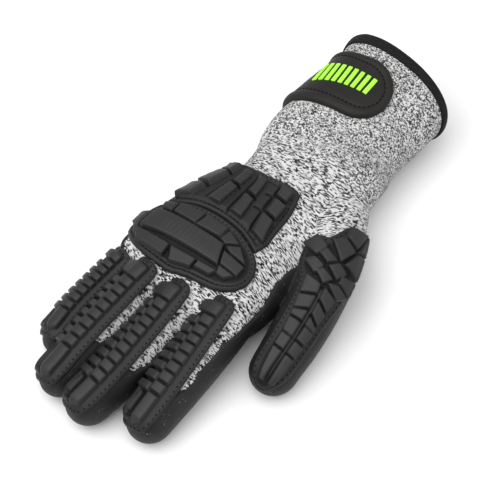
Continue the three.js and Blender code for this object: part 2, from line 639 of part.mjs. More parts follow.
// The space below the dip line, all across the hand
function dipSolid() {
  const ring = (x) => DIP_LINE.map((r) => new THREE.Vector3(x, -r.along * HAND_LENGTH, r.rise * PALM_DEPTH));
  return prism(ring(-2 * PALM_WIDTH), ring(2 * PALM_WIDTH));
}

// A closed body between two rings of as many points
function prism(low, high) {
  const n = low.length;
  const faces = [];
  for (let j = 0; j < n; j++) {
    const k = (j + 1) % n;
    faces.push([j, k, j + n], [k, k + n, j + n]);
  }
  const flat = low.map((p) => new THREE.Vector2(p.y, p.z));
  for (const [a, b, c] of THREE.ShapeUtils.triangulateShape(flat, [])) {
    faces.push([a, c, b], [a + n, b + n, c + n]);
  }
  return solidFrom([...low, ...high], faces);
}

// A short piece of the hand's main tube between two stations, at an offset
function band(from, to, offset) {
  const angles = Array.from({ length: PALM_FACETS }, (_, j) => (2 * Math.PI * j) / PALM_FACETS);
  return loft([from, to].map((s) => angles.map((angle) => palm.pointAt(s, angle, offset))));
}

// The largest piece of a solid
function largest(solid) {
  return solid.decompose().reduce((best, piece) => (piece.volume() > best.volume() ? piece : best));
}

function colour(hex, roughness) {
  return new THREE.MeshStandardMaterial({ color: hex, roughness, metalness: 0 });
}

const glove = new THREE.Group();
const seated = handSolid(SEAT_GAP, PAST_HEM);
const knit = handSolid(0, 0).subtract(handSolid(-KNIT_WALL, PAST_HEM));
glove.add(meshOf("knit_shell", knit, colour(0xb4b4b2, 0.95)));

const rooms = [];
for (const [name, tables] of Object.entries(GUARDS)) {
  const made = guard(tables).subtract(seated);
  const clear = rooms.reduce((left, room) => left.subtract(room), made);
  rooms.push(guardRoom(tables));
  glove.add(meshOf(name, largest(clear), colour(0x3a3b3d, 0.75)));
}

const dipped = handSolid(COAT_OFFSET, 0).subtract(seated).intersect(dipSolid());
const coat = rooms.reduce((left, room) => left.subtract(room), dipped);
glove.add(meshOf("palm_coating", largest(coat), colour(0x1c1d1f, 0.6)));

const { near: tabNear, far: tabFar } = guardTables(palm, TAB_OUTLINE, [], PALM_WIDTH);
const tabGrid = gridBetween(tabNear, tabFar, WIDE_STEPS);
const tab = slab(palm, tabGrid, tabGrid, GUARD_LIFT, GUARD_LIFT + TAB_WALL).subtract(seated);
glove.add(meshOf("wrist_tab", tab, colour(0x35332e, 0.8)));

const tapeOut = SEAT_GAP + BINDING_WALL;
const tapeIn = -KNIT_WALL - tapeOut;
const hemRoom = band(-SEAT_GAP, 2 * BINDING_WIDTH, SEAT_GAP).subtract(
  band(-SEAT_GAP - OVERCUT, 2 * BINDING_WIDTH + OVERCUT, -KNIT_WALL - SEAT_GAP),
);
const tape = band(-tapeOut, BINDING_WIDTH, tapeOut)
  .subtract(band(-tapeOut - OVERCUT, BINDING_WIDTH + OVERCUT, tapeIn))
  .subtract(hemRoom);
glove.add(meshOf("cuff_binding", tape, colour(0x202224, 0.85)));

// The glove's resting place: the middle of its outline over the origin, its lowest point on the floor
const bounds = new THREE.Box3().setFromObject(glove);
const middle = bounds.getCenter(new THREE.Vector3());
for (const mesh of glove.children) mesh.geometry.translate(-middle.x, -middle.y, -bounds.min.z);

export default glove;
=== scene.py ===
import math

import bmesh
import bpy
import numpy as np
from mathutils import Matrix, Vector, noise


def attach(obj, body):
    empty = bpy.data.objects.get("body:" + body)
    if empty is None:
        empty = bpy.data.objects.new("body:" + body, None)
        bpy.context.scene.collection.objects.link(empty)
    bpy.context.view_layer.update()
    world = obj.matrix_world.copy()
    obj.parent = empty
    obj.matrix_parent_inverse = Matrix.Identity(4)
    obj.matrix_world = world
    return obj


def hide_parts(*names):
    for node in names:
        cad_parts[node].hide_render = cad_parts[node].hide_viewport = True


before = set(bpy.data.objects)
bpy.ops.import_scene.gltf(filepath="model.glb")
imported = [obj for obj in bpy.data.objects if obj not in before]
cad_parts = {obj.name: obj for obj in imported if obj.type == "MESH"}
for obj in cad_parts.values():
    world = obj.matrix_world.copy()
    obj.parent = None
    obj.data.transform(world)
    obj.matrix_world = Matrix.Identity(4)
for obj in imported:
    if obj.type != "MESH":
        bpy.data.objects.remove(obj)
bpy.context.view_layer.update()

# The camera looks down on the glove over the thumb's side, as the glove was photographed. The floor
# is a plain pale sweep, and two large soft lights and a bright sky light it from above.
MM = 0.001
HAND_X, HAND_Y = -13.039, 65.002
AIM = Vector((HAND_X, HAND_Y - 70, 20)) * MM
CAMERA_TURN, CAMERA_TILT = 42, 57
CAMERA_REACH, LAMP_REACH = 748 * MM, 1.1
CAMERA_LENS, CAMERA_SENSOR = 110, 36
LAMPS = [
    # name, turn, tilt, size in metres, watts
    ("key_light", -30, 66, 1.3, 14),
    ("fill_light", 120, 45, 1.4, 3),
]
SKY_LEVEL = 0.6
FLOOR_HALF = 3


def towards(turn, tilt):
    """The way from the glove to a camera or lamp, from its turn and its height in degrees."""
    turn, tilt = math.radians(turn), math.radians(tilt)
    return Vector(
        (math.sin(turn) * math.cos(tilt), -math.cos(turn) * math.cos(tilt), math.sin(tilt))
    )


def stand(thing, place):
    """Puts a camera or lamp at a place, looking at the glove."""
    thing.location = place
    thing.rotation_euler = (AIM - place).to_track_quat("-Z", "Y").to_euler()
    bpy.context.collection.objects.link(thing)


camera = bpy.data.objects.new("camera", bpy.data.cameras.new("camera"))
camera.data.lens = CAMERA_LENS
camera.data.sensor_width = CAMERA_SENSOR
stand(camera, AIM + CAMERA_REACH * towards(CAMERA_TURN, CAMERA_TILT))
bpy.context.scene.camera = camera
bpy.context.scene.view_settings.view_transform = "Standard"

for name, turn, tilt, size, watts in LAMPS:
    lamp = bpy.data.objects.new(name, bpy.data.lights.new(name, "AREA"))
    lamp.data.size = size
    lamp.data.energy = watts
    stand(lamp, AIM + LAMP_REACH * towards(turn, tilt))

sky = bpy.data.worlds.new("sky")
sky.use_nodes = True
glow = sky.node_tree.nodes["Background"].inputs
glow["Color"].default_value = (1, 1, 1, 1)
glow["Strength"].default_value = SKY_LEVEL
bpy.context.scene.world = sky


class Shade:
    """A socket of a material, on which sums and products add Math nodes."""

    def __init__(self, tree, socket):
        self.tree, self.socket = tree, socket

    def math(self, operation, *others):
        node = self.tree.nodes.new("ShaderNodeMath")
        node.operation = operation
        for slot, value in zip(node.inputs, others):
            if isinstance(value, Shade):
                self.tree.links.new(value.socket, slot)
            else:
                slot.default_value = value
        return Shade(self.tree, node.outputs[0])

    def __add__(self, other):
        return self.math("ADD", self, other)

    def __sub__(self, other):
        return self.math("SUBTRACT", self, other)

    def __rsub__(self, other):
        return self.math("SUBTRACT", other, self)

    def __mul__(self, other):
        return self.math("MULTIPLY", self, other)

    __radd__ = __add__
    __rmul__ = __mul__

    def floor(self):
        return self.math("FLOOR", self)

    def part(self):
        return self.math("FRACT", self)

    def size(self):
        return self.math("ABSOLUTE", self)

    def wave(self):
        return self.math("SINE", self)

    def over(self, level):
        return self.math("GREATER_THAN", self, level)


class Finish:
    """A material on a Principled shader, with the nodes that its pattern needs."""

    def __init__(self, name, **levels):
        self.material = bpy.data.materials.new(name)
        self.material.use_nodes = True
        self.tree = self.material.node_tree
        self.shader = self.tree.nodes["Principled BSDF"]
        for slot, value in levels.items():
            self.shader.inputs[slot.replace("_", " ")].default_value = value

    def node(self, kind, settings=None, output=0, **values):
        """A node of a kind, from its settings and the values or links of its sockets. A socket is given
        by its name, or by its number after a line."""
        made = self.tree.nodes.new("ShaderNode" + kind)
        for key, value in (settings or {}).items():
            if key == "steps":
                made.color_ramp.interpolation = "CONSTANT"
            if key in ("stops", "steps"):
                ramp = made.color_ramp
                while len(ramp.elements) < len(value):
                    ramp.elements.new(0.5)
                for element, (place, colour) in zip(ramp.elements, value):
                    element.position = place
                    element.color = (*colour, 1)
            else:
                setattr(made, key, value)
        for slot, value in values.items():
            slot = int(slot[1:]) if slot[0] == "_" else slot.replace("_", " ")
            if isinstance(value, Shade):
                self.tree.links.new(value.socket, made.inputs[slot])
            else:
                made.inputs[slot].default_value = value
        return Shade(self.tree, made.outputs[output])

    def feed(self, slot, shade):
        """Links a shade to the Principled shader."""
        self.tree.links.new(shade.socket, self.shader.inputs[slot])

    def place(self):
        """The place on the piece, in metres."""
        return self.node("TexCoord", output="Object")

    def noise(self, vector, grain, detail=2.0):
        """Cloudy patches, with a grain in mm."""
        return self.node("TexNoise", Vector=vector, Scale=1000 / grain, Detail=detail)

    def bump(self, height, depth, strength):
        """Raises the surface by a height, with a depth in mm."""
        self.feed(
            "Normal",
            self.node("Bump", Height=height, Distance=depth * MM, Strength=strength),
        )


def grey(level):
    return (level, level, level)


def piece_from(name, made, finish=None):
    """An object from a bmesh, smooth, in its finish."""
    mesh = bpy.data.meshes.new(name)
    made.to_mesh(mesh)
    made.free()
    mesh.shade_smooth()
    piece = bpy.data.objects.new(name, mesh)
    bpy.context.collection.objects.link(piece)
    if finish:
        mesh.materials.append(finish.material)
    return piece


paper = Finish("floor_paper", Roughness=0.85)
cloud = paper.noise(paper.place(), 30)
paper.feed(
    "Base Color", paper.node("ValToRGB", {"stops": [(0, grey(0.88)), (1, grey(0.91))]}, Fac=cloud)
)
sweep = bmesh.new()
bmesh.ops.create_grid(sweep, x_segments=1, y_segments=1, size=FLOOR_HALF)
piece_from("floor", sweep, paper)


# The knitted shell is one seamless tube of cut-resistant yarn, white, grey and black twisted
# together, with five knitted fingers and a ribbed cuff. It is 1.5 mm thick, hollow, and open at the
# hem.
HAND_LENGTH, CUFF_LENGTH = 202, 60
PALM_WIDTH, PALM_DEPTH = 86, 36
CUFF_WIDTH, CUFF_DEPTH = 72, 46
FINGER_WIDTH, FINGER_DEPTH = 21, 22
THUMB_WIDTH, THUMB_DEPTH = 24, 22
HEM_SLANT, HEM_CROWN = 6, 4
KNIT_WALL, COAT_WALL, SEAT = 1.5, 0.8, 0.3
FLOOR_LIFT = SEAT + COAT_WALL
FINGER_GAP = 0.6
PALM_ROWS = [
    # cuff, along, across, width, depth, lift, power
    (1, 1.0, -0.032, 1.0, 1.0, -0.03, 2.2),
    (1, 0.66, -0.01, 0.945, 0.98, -0.03, 2.2),
    (1, 0.3, -0.018, 0.955, 0.96, -0.03, 2.2),
    (0, 0.0, -0.008, 0.845, 1.14, -0.03, 2.3),
    (0, 0.1, 0.043, 0.79, 1.08, -0.03, 2.4),
    (0, 0.223, 0.062, 0.805, 1.02, -0.03, 2.5),
    (0, 0.346, 0.022, 0.9, 1.01, -0.03, 2.6),
    (0, 0.47, -0.01, 0.97, 0.95, 0.04, 2.6),
    (0, 0.56, -0.02, 0.945, 0.79, 0.15, 2.5),
]
FINGER_ROWS = {
    # along, across, rise, width, depth, roll
    "little": [
        (0.42, -0.34, 0.44, 0.9, 0.9, -26),
        (0.525, -0.355, 0.5, 0.85, 0.96, -30),
        (0.64, -0.38, 0.38, 0.78, 0.9, -34),
        (0.75, -0.384, 0.31, 0.78, 0.87, -34),
        (0.82, -0.374, 0.27, 0.78, 0.82, -32),
    ],
    "ring": [
        (0.42, -0.14, 0.5, 0.95, 1.0, -27),
        (0.55, -0.163, 0.62, 0.96, 1.08, -30),
        (0.69, -0.178, 0.5, 0.94, 1.04, -31),
        (0.82, -0.186, 0.39, 0.92, 0.95, -31),
        (0.903, -0.19, 0.3, 0.88, 0.88, -29),
    ],
    "middle": [
        (0.42, 0.06, 0.58, 0.95, 1.0, -30),
        (0.55, 0.075, 0.66, 1.0, 1.1, -32),
        (0.69, 0.083, 0.52, 0.98, 1.06, -30),
        (0.825, 0.07, 0.4, 1.0, 0.97, -22),
        (0.912, 0.05, 0.31, 1.0, 0.9, -18),
    ],
    "index": [
        (0.4, 0.28, 0.56, 0.95, 1.0, -31),
        (0.525, 0.325, 0.64, 1.1, 1.1, -29),
        (0.65, 0.357, 0.52, 1.05, 1.06, -29),
        (0.77, 0.375, 0.41, 1.04, 0.98, -24),
        (0.848, 0.38, 0.31, 1.02, 0.9, -22),
    ],
    "thumb": [
        (0.0, 0.14, 0.5, 1.2, 1.3, -6),
        (0.12, 0.3, 0.54, 1.42, 1.46, 0),
        (0.255, 0.5, 0.58, 1.3, 1.34, 3),
        (0.36, 0.607, 0.54, 1.12, 1.14, 4),
        (0.46, 0.66, 0.44, 1.06, 1.04, 4),
        (0.55, 0.69, 0.31, 0.96, 0.93, 2),
    ],
}


def smooth_rows(rows, share):
    """The rows' values a share of the way through them, on a smooth curve that starts at the second row
    and ends at the last but one."""
    last = len(rows) - 3
    place = np.clip(share, 0, 1) * last
    i = np.minimum(place.astype(int), last - 1)
    f = (place - i).reshape(-1, *[1] * (rows.ndim - 1))
    a, b, c, d = rows[i], rows[i + 1], rows[i + 2], rows[i + 3]
    return b + 0.5 * f * (c - a + f * (2 * a - 5 * b + 4 * c - d + f * (3 * (b - c) + d - a)))


class Tube:
    """A curved tube of the hand. A spot on it has a station in mm along it, a distance in mm across its
    back from the crest, positive to the thumb's side, and an offset in mm out of its surface."""

    STEPS = 200
    ARC = 64

    def __init__(self, centres, half_width, half_depth, power, roll, shear, dome):
        centres = np.array(centres, float)
        ends = 2 * centres[[0, -1]] - centres[[1, -2]]
        line = np.concatenate([ends[:1], centres, ends[1:]])
        table = np.array([half_width, half_depth, power, roll, shear], float).T
        table = np.concatenate([table[:1], table, table[-1:]])
        share = np.linspace(0, 1, 4 * self.STEPS + 1)
        path = smooth_rows(line, share)
        run = np.concatenate([[0], np.cumsum(np.linalg.norm(np.diff(path, axis=0), axis=1))])
        self.dome, self.length = dome, run[-1]
        share = np.interp(np.linspace(0, self.length, self.STEPS + 1), run, share)
        self.centre = smooth_rows(line, share)
        ahead = smooth_rows(line, share + 1e-4) - smooth_rows(line, share - 1e-4)
        self.heading = ahead / np.linalg.norm(ahead, axis=1)[:, None]
        self.table = smooth_rows(table, share)
        roll = np.radians(self.table[:, 3])
        lean = np.stack([np.sin(roll), 0 * roll, np.cos(roll)], 1)
        side = np.cross(self.heading, lean)
        side /= np.linalg.norm(side, axis=1)[:, None]
        self.top = np.cross(side, self.heading)
        self.side = -side
        angles = np.linspace(0, math.pi, self.ARC + 1)
        rim = np.stack(self.outline(self.table[:, None, :], angles[None, :], 0), 2)
        legs = np.linalg.norm(np.diff(rim, axis=1), axis=2)
        self.arcs = np.concatenate([np.zeros((len(legs), 1)), np.cumsum(legs, 1)], 1)

    def outline(self, table, angle, offset):
        a, b, power = table[..., 0], table[..., 1], table[..., 2]
        s, c = np.sin(angle), np.cos(angle)
        x = a * np.sign(s) * np.abs(s) ** (2 / power)
        z = b * np.sign(c) * np.abs(c) ** (2 / power)
        nx = np.sign(x) * np.abs(x / a) ** (power - 1) / a
        nz = np.sign(z) * np.abs(z / b) ** (power - 1) / b
        size = np.hypot(nx, nz)
        return x + offset * nx / size, z + offset * nz / size

    def at(self, rows, station):
        place = np.clip(station / self.length, 0, 1) * self.STEPS
        i = np.minimum(place.astype(int), self.STEPS - 1)
        f = (place - i)[:, None]
        return rows[i] * (1 - f) + rows[i + 1] * f

    def angle(self, station, across):
        arcs = self.at(self.arcs, station)
        far = np.minimum(np.abs(across), arcs[:, -1] - 1e-6)
        j = np.minimum((arcs <= far[:, None]).sum(1) - 1, self.ARC - 1)
        k = np.arange(len(j))
        f = (far - arcs[k, j]) / (arcs[k, j + 1] - arcs[k, j])
        return np.sign(across) * (j + f) * math.pi / self.ARC

    def wrap(self, angle, station, offset):
        """Row places in metres of spots at an angle from the crest."""
        station = np.asarray(station, float)
        table = self.at(self.table, station)
        x, z = self.outline(table, angle, offset)
        beyond = np.maximum(0, station - self.length) / self.dome
        x, z = x * np.cos(beyond), z * np.cos(beyond)
        reach = np.sin(beyond) * (self.dome + offset) + np.minimum(station, 0)
        spot = self.at(self.centre, station) + self.at(self.side, station) * x[:, None]
        spot += self.at(self.top, station) * z[:, None]
        spot += self.at(self.heading, station) * reach[:, None]
        spot[:, 1] += table[:, 4] * (HEM_CROWN * z / table[:, 1] - HEM_SLANT * x / table[:, 0])
        spot[:, 2] = np.maximum(spot[:, 2], FLOOR_LIFT - offset)
        return (spot + (HAND_X, HAND_Y, 0)) * MM

    def lay(self, across, station, offset):
        return self.wrap(self.angle(np.minimum(station, self.length), across), station, offset)

    def read(self, spots):
        """How far out of the tube row places are, as a share, and their distance across and station."""
        local = spots / MM - (HAND_X, HAND_Y, 0)
        near = np.empty(len(local), int)
        for start in range(0, len(local), 4000):
            some = local[start : start + 4000, None, :] - self.centre[None]
            near[start : start + 4000] = (some**2).sum(2).argmin(1)
        out = local - self.centre[near]
        ahead = (out * self.heading[near]).sum(1)
        station = near * self.length / self.STEPS + ahead
        table = self.table[near]
        x, z = (out * self.side[near]).sum(1), (out * self.top[near]).sum(1)
        past = np.maximum(0, station - self.length) / self.dome
        p = table[:, 2]
        sx, sz = np.abs(x / table[:, 0]), np.abs(z / table[:, 1])
        level = (sx**p + sz**p) ** (1 / p)
        level = np.hypot(level, past)
        angle = np.arctan2(np.sign(x) * sx ** (p / 2), np.sign(z) * sz ** (p / 2))
        j = np.minimum((np.abs(angle) / math.pi * self.ARC).astype(int), self.ARC - 1)
        f = np.abs(angle) / math.pi * self.ARC - j
        arcs = self.arcs[near]
        k = np.arange(len(near))
        across = np.sign(angle) * (arcs[k, j] * (1 - f) + arcs[k, j + 1] * f)
        return level, across, station, arcs[:, -1]


def palm_tube():
    centres, rest = [], []
    for cuff, along, across, width, depth, lift, power in PALM_ROWS:
        deep = depth * (CUFF_DEPTH if cuff else PALM_DEPTH)
        wide = width * (CUFF_WIDTH if cuff else PALM_WIDTH)
        y = along * CUFF_LENGTH if cuff else -along * HAND_LENGTH
        centres.append((across * PALM_WIDTH, y, FLOOR_LIFT + lift * PALM_DEPTH + deep / 2))
        rest.append((wide / 2, deep / 2, power, 0, along if cuff else 0))
    return Tube(centres, *zip(*rest), 0.3 * PALM_DEPTH)


def finger_tube(name):
    wide, deep = (THUMB_WIDTH, THUMB_DEPTH) if name == "thumb" else (FINGER_WIDTH, FINGER_DEPTH)
    rows = FINGER_ROWS[name]
    centres = [(r[1] * PALM_WIDTH, -r[0] * HAND_LENGTH, r[2] * PALM_DEPTH) for r in rows]
    rest = [(r[3] * wide / 2, r[4] * deep / 2, 2.2, r[5], 0) for r in rows]
    return Tube(centres, *zip(*rest), 0.5 * wide)


palm = palm_tube()
fingers = {name: finger_tube(name) for name in FINGER_ROWS}


PARTED_AT = (0.58, 0.76)


def parting_plane(first, second):
    """The plane midway between two neighbouring fingers: a spot on it and its normal, in mm."""
    spots, apart = [], []
    for along in PARTED_AT:
        picks = []
        for tube in (first, second):
            k = np.abs(tube.centre[:, 1] + along * HAND_LENGTH).argmin()
            picks.append((tube.centre[k], tube.table[k, 0]))
        (a, wa), (b, wb) = picks
        spots.append(a + (b - a) * wa / (wa + wb))
        apart.append(b - a)
    run = spots[1] - spots[0]
    run /= np.linalg.norm(run)
    normal = apart[0] + apart[1]
    normal -= run * normal.dot(run)
    return spots[0], normal / np.linalg.norm(normal)


ROW_OF_FINGERS = ["little", "ring", "middle", "index"]
partings = [
    parting_plane(fingers[a], fingers[b]) for a, b in zip(ROW_OF_FINGERS, ROW_OF_FINGERS[1:])
]


def move_to(verts, places):
    """Moves vertices to places."""
    for v, place in zip(verts, places):
        v.co = place


RING_STEP = 2.5


def closed_tube(tube, lead, turns):
    """A closed mesh of a tube, from a flat grid rolled up and welded. It starts a lead before the tube."""
    made = bmesh.new()
    end = tube.length + tube.dome * math.pi / 2
    rings = int((end + lead) / RING_STEP)
    bmesh.ops.create_grid(made, x_segments=turns, y_segments=rings, size=1.0)
    flat = np.array([v.co for v in made.verts])
    station = -lead + (flat[:, 1] + 1) / 2 * (end + lead)
    move_to(made.verts, tube.wrap(flat[:, 0] * math.pi, station, np.zeros(len(flat))))
    bmesh.ops.remove_doubles(made, verts=made.verts, dist=1e-6)
    bmesh.ops.holes_fill(made, edges=made.edges, sides=0)
    bmesh.ops.recalc_face_normals(made, faces=made.faces)
    return made


def cut_away(made, spot, normal):
    """Cuts off what lies beyond a plane and closes the cut."""
    cut = bmesh.ops.bisect_plane(
        made,
        geom=made.verts[:] + made.edges[:] + made.faces[:],
        plane_co=spot,
        plane_no=normal,
        clear_outer=True,
    )
    rim = [e for e in cut["geom_cut"] if isinstance(e, bmesh.types.BMEdge)]
    bmesh.ops.holes_fill(made, edges=rim, sides=0)


def add_to(whole, made):
    """Adds one bmesh to another."""
    mesh = bpy.data.meshes.new("part")
    made.to_mesh(mesh)
    made.free()
    whole.from_mesh(mesh)
    bpy.data.meshes.remove(mesh)


HEM_LEAD, HEM_TRIM = 8, 1.1
SKIN_MESH = 1.25
hand = bmesh.new()
add_to(hand, closed_tube(palm, HEM_LEAD, turns=96))
half_gap = FINGER_GAP / 2 + FLOOR_LIFT
for name, tube in fingers.items():
    made = closed_tube(tube, 0, turns=48)
    for (spot, normal), pair in zip(partings, zip(ROW_OF_FINGERS, ROW_OF_FINGERS[1:])):
        if name in pair:
            side = 1 if name == pair[0] else -1
            level = (spot - side * half_gap * normal + (HAND_X, HAND_Y, 0)) * MM
            cut_away(made, Vector(level), Vector(normal * side))
    add_to(hand, made)
lump = piece_from("skin", hand)
melt = lump.modifiers.new("melt", "REMESH")
melt.mode = "VOXEL"
melt.voxel_size = SKIN_MESH * MM
melt.adaptivity = 0
relax = lump.modifiers.new("relax", "SMOOTH")
relax.factor = 0.5
relax.iterations = 8
shown = lump.evaluated_get(bpy.context.evaluated_depsgraph_get())
skin = bpy.data.meshes.new_from_object(shown)
bpy.data.objects.remove(lump)

bm = bmesh.new()
bm.from_mesh(skin)
hem = palm.at(palm.centre, np.zeros(1))[0] + (HAND_X, HAND_Y - HEM_TRIM, 0)
half_width, half_depth = palm.table[0, :2]
bmesh.ops.bisect_plane(
    bm,
    geom=bm.verts[:] + bm.edges[:] + bm.faces[:],
    plane_co=Vector(hem) * MM,
    plane_no=Vector((HEM_SLANT / half_width, 1, -HEM_CROWN / half_depth)),
    clear_outer=True,
)
bm.verts.ensure_lookup_table()
spots = np.array([v.co for v in bm.verts])
centres = np.array([f.calc_center_median() for f in bm.faces])
tubes = [palm, *fingers.values()]
nearest = np.argmin([tube.read(centres)[0] for tube in tubes], 0)
UV_SCALE = 100
stitch = bm.loops.layers.uv.new("stitch")
readings = [tube.read(spots) for tube in tubes]
for face, which in zip(bm.faces, nearest):
    _, across, station, girth = readings[which]
    first = across[face.loops[0].vert.index]
    for loop in face.loops:
        k = loop.vert.index
        u = across[k]
        if u - first > girth[k]:
            u -= 2 * girth[k]
        elif first - u > girth[k]:
            u += 2 * girth[k]
        loop[stitch].uv = (u / UV_SCALE, station[k] / UV_SCALE)
bm.to_mesh(skin)
bm.free()

# Where the coat reaches: a height in mm over the floor for each share of the hand's length
DIP_LINE = [
    (0.105, 4), (0.115, 10), (0.247, 18), (0.346, 24.8), (0.445, 28), (0.6, 28.6), (0.668, 26.4),
    (0.75, 24.4), (0.8, 25), (0.84, 50), (1.2, 50),
]
DIP_START = 0.109


def ease(value):
    """A share from 0 to 1 that starts and ends gently."""
    value = np.clip(value, 0, 1)
    return value * value * (3 - 2 * value)


def wander(spot):
    """How far in mm the coat's edge strays at a place, as the liquid crept up the stitches."""
    place = Vector(spot) / MM
    slow = noise.noise(place / 7)
    quick = noise.noise(place / 2.6 + Vector((9, 4, 2)))
    return 1.3 * slow + 0.9 * quick


def dip_depth(spots):
    """How far in mm the places lie within the coat's edge."""
    along = -(spots[:, 1] / MM - HAND_Y) / HAND_LENGTH
    across = (spots[:, 0] / MM - HAND_X) / PALM_WIDTH
    level = np.interp(along, *zip(*DIP_LINE))
    web = ease((across - 0.34) / 0.12) * ease((along - 0.26) / 0.06)
    level = level + 9 * web * (1 - ease((along - 0.38) / 0.08))
    level = level + 12 * ease((across - 0.54) / 0.04) * ease((along - 0.29) / 0.05)
    level = level - 2.5 * (1 - ease((across - 0.2) / 0.05)) * ease((along - 0.5) / 0.05)
    depth = np.minimum(level - spots[:, 2] / MM, (along - DIP_START) * HAND_LENGTH)
    return depth + np.array([wander(spot) for spot in spots])


skin_dip = dip_depth(np.array([v.co for v in skin.vertices]))
skin.attributes.new("dip", "FLOAT", "POINT").data.foreach_set("value", skin_dip)

WALE, COURSE = 0.86, 0.56
DASHES_PER_MM = 0.7
CUFF_START = 0.052
knit_finish = Finish("melange_knit", Roughness=0.92, Specular_IOR_Level=0.25)
uv = knit_finish.node("UVMap", {"uv_map": "stitch"})
u = knit_finish.node("SeparateXYZ", output=0, Vector=uv) * UV_SCALE
v = knit_finish.node("SeparateXYZ", output=1, Vector=uv) * UV_SCALE
place = knit_finish.place()
fuzz = knit_finish.noise(place, 0.8, 3)
drift = knit_finish.noise(place, 5, 2)
leg = ((u * (1 / WALE)).part() - 0.5).size()
course = v * (1 / COURSE) + leg * 0.5 + (fuzz - 0.5) * 0.5 + (drift - 0.5) * 1.6
row = course.floor()
lace = course.part()
shift = knit_finish.node("TexWhiteNoise", {"noise_dimensions": "1D"}, W=row)
dash_run = (u * DASHES_PER_MM + shift * 7 + (fuzz - 0.5) * 0.5).floor()
dot_run = (u * (1 / WALE) + (fuzz - 0.5) * 0.4).floor()
dash, dot = (
    knit_finish.node(
        "TexWhiteNoise",
        {"noise_dimensions": "2D"},
        Vector=knit_finish.node("CombineXYZ", X=run, Y=row),
    )
    for run in (dash_run, dot_run)
)
back = knit_finish.node("SeparateXYZ", output=1, Vector=place)
cuff = (back + (drift - 0.5) * 0.03).over(CUFF_START)
check = (((u * (1 / WALE)).floor() + row) * 0.5).part() * 2
luck = dash * (1 - cuff) + (dot * 0.7 + check * 0.3) * cuff
yarns = knit_finish.node(
    "ValToRGB",
    {
        "steps": [
            (0, grey(0.74)),
            (0.3, grey(0.46)),
            (0.46, grey(0.2)),
            (0.6, grey(0.06)),
            (0.7, grey(0.015)),
            (0.83, grey(0.8)),
        ],
    },
    Fac=luck,
)
stripe = (lace * math.pi).wave()
shadow = knit_finish.node(
    "ValToRGB", {"stops": [(0.0, grey(0.2)), (0.5, grey(1.0))]}, Fac=stripe * (0.5 + fuzz)
)
yarn = knit_finish.node(
    "Mix",
    {"data_type": "RGBA", "blend_type": "MULTIPLY"},
    output=2,
    _0=0.85,
    _6=yarns,
    _7=shadow,
)
dip = knit_finish.node("Attribute", {"attribute_name": "dip"}, output="Fac")
soaked = (dip + (fuzz - 0.5) * 5 + (luck - 0.5) * 2.2).over(-0.3)
yarn = knit_finish.node(
    "Mix", {"data_type": "RGBA"}, output=2, _0=soaked, _6=yarn, _7=(*grey(0.008), 1)
)
knit_finish.feed("Base Color", yarn)
knit_finish.bump(stripe * 0.7 + fuzz * 0.6 + (0.5 - leg) * 0.3, 0.35, 0.9)

knit = bpy.data.objects.new("knit", skin.copy())
bpy.context.collection.objects.link(knit)
knit.data.materials.append(knit_finish.material)
wall = knit.modifiers.new("wall", "SOLIDIFY")
wall.thickness = KNIT_WALL * MM
wall.offset = -1
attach(knit, "root")
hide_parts("knit_shell")


# The coat is foamed nitrile. The glove was laid palm down in the liquid, so the film covers the
# palm, the fingers' undersides and the fingertips, and ends in an uneven line on the knit. It is
# 0.8 mm thick.
COAT_TOP, COAT_SUNK, COAT_END = 0.95, 0.5, -1.2
FADE_START, FADE_LENGTH = -0.7, 1.6
bm = bmesh.new()
bm.from_mesh(skin)
bm.verts.ensure_lookup_table()
rise = -COAT_SUNK + (COAT_SUNK + COAT_TOP) * ease((skin_dip - FADE_START) / FADE_LENGTH)
for vert, out in zip(bm.verts, rise):
    vert.co += vert.normal * float(out) * MM
    vert.co.z = max(vert.co.z, 0.0)
hidden = [f for f in bm.faces if max(skin_dip[v.index] for v in f.verts) < COAT_END]
bmesh.ops.delete(bm, geom=hidden, context="FACES")
coat_finish = Finish("nitrile_foam", Roughness=0.5, Specular_IOR_Level=0.3)
place = coat_finish.place()
patches = coat_finish.noise(place, 9)
pores = coat_finish.noise(place, 0.55, 3)
film = coat_finish.node(
    "ValToRGB", {"stops": [(0.3, grey(0.004)), (0.7, grey(0.01))]}, Fac=patches
)
lint = (coat_finish.noise(place, 1.1, 3) + (patches - 0.5) * 0.25).over(0.72)
film = coat_finish.node(
    "Mix", {"data_type": "RGBA"}, output=2, _0=lint, _6=film, _7=(*grey(0.2), 1)
)
coat_finish.feed("Base Color", film)
coat_finish.feed("Roughness", 0.42 + patches * 0.2)
uv = coat_finish.node("UVMap", {"uv_map": "stitch"})
wales = coat_finish.node("SeparateXYZ", output=0, Vector=uv) * (UV_SCALE / WALE)
ridge = (wales * (2 * math.pi)).wave()
coat_finish.bump(pores * 0.8 + ridge * 0.3, 0.3, 0.7)
coat = piece_from("coat", bm, coat_finish)
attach(coat, "root")
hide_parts("palm_coating")


# The knuckle guard is moulded from soft black rubber: a thin sheet with a double bead round it, a
# long middle plate across the knuckles, and smaller plates with narrow clefts between them, so that
# the hand still bends. It is sewn to the knit along its rim. The middle plate has fine plain ribs.
SHEET_TOP = 2.1
SHEET_ROUNDING = 0.8
SHEET_SUNK = 0.7
BLOCK_FACE = 1.3
GRID = 0.4


def rounded(outline, passes=3):
    """The outline with its corners cut and cut again."""
    points = np.array(outline, float)
    for _ in range(passes):
        after = np.roll(points, -1, axis=0)
        points = np.stack([0.75 * points + 0.25 * after, 0.25 * points + 0.75 * after], 1)
        points = points.reshape(-1, 2)
    return points


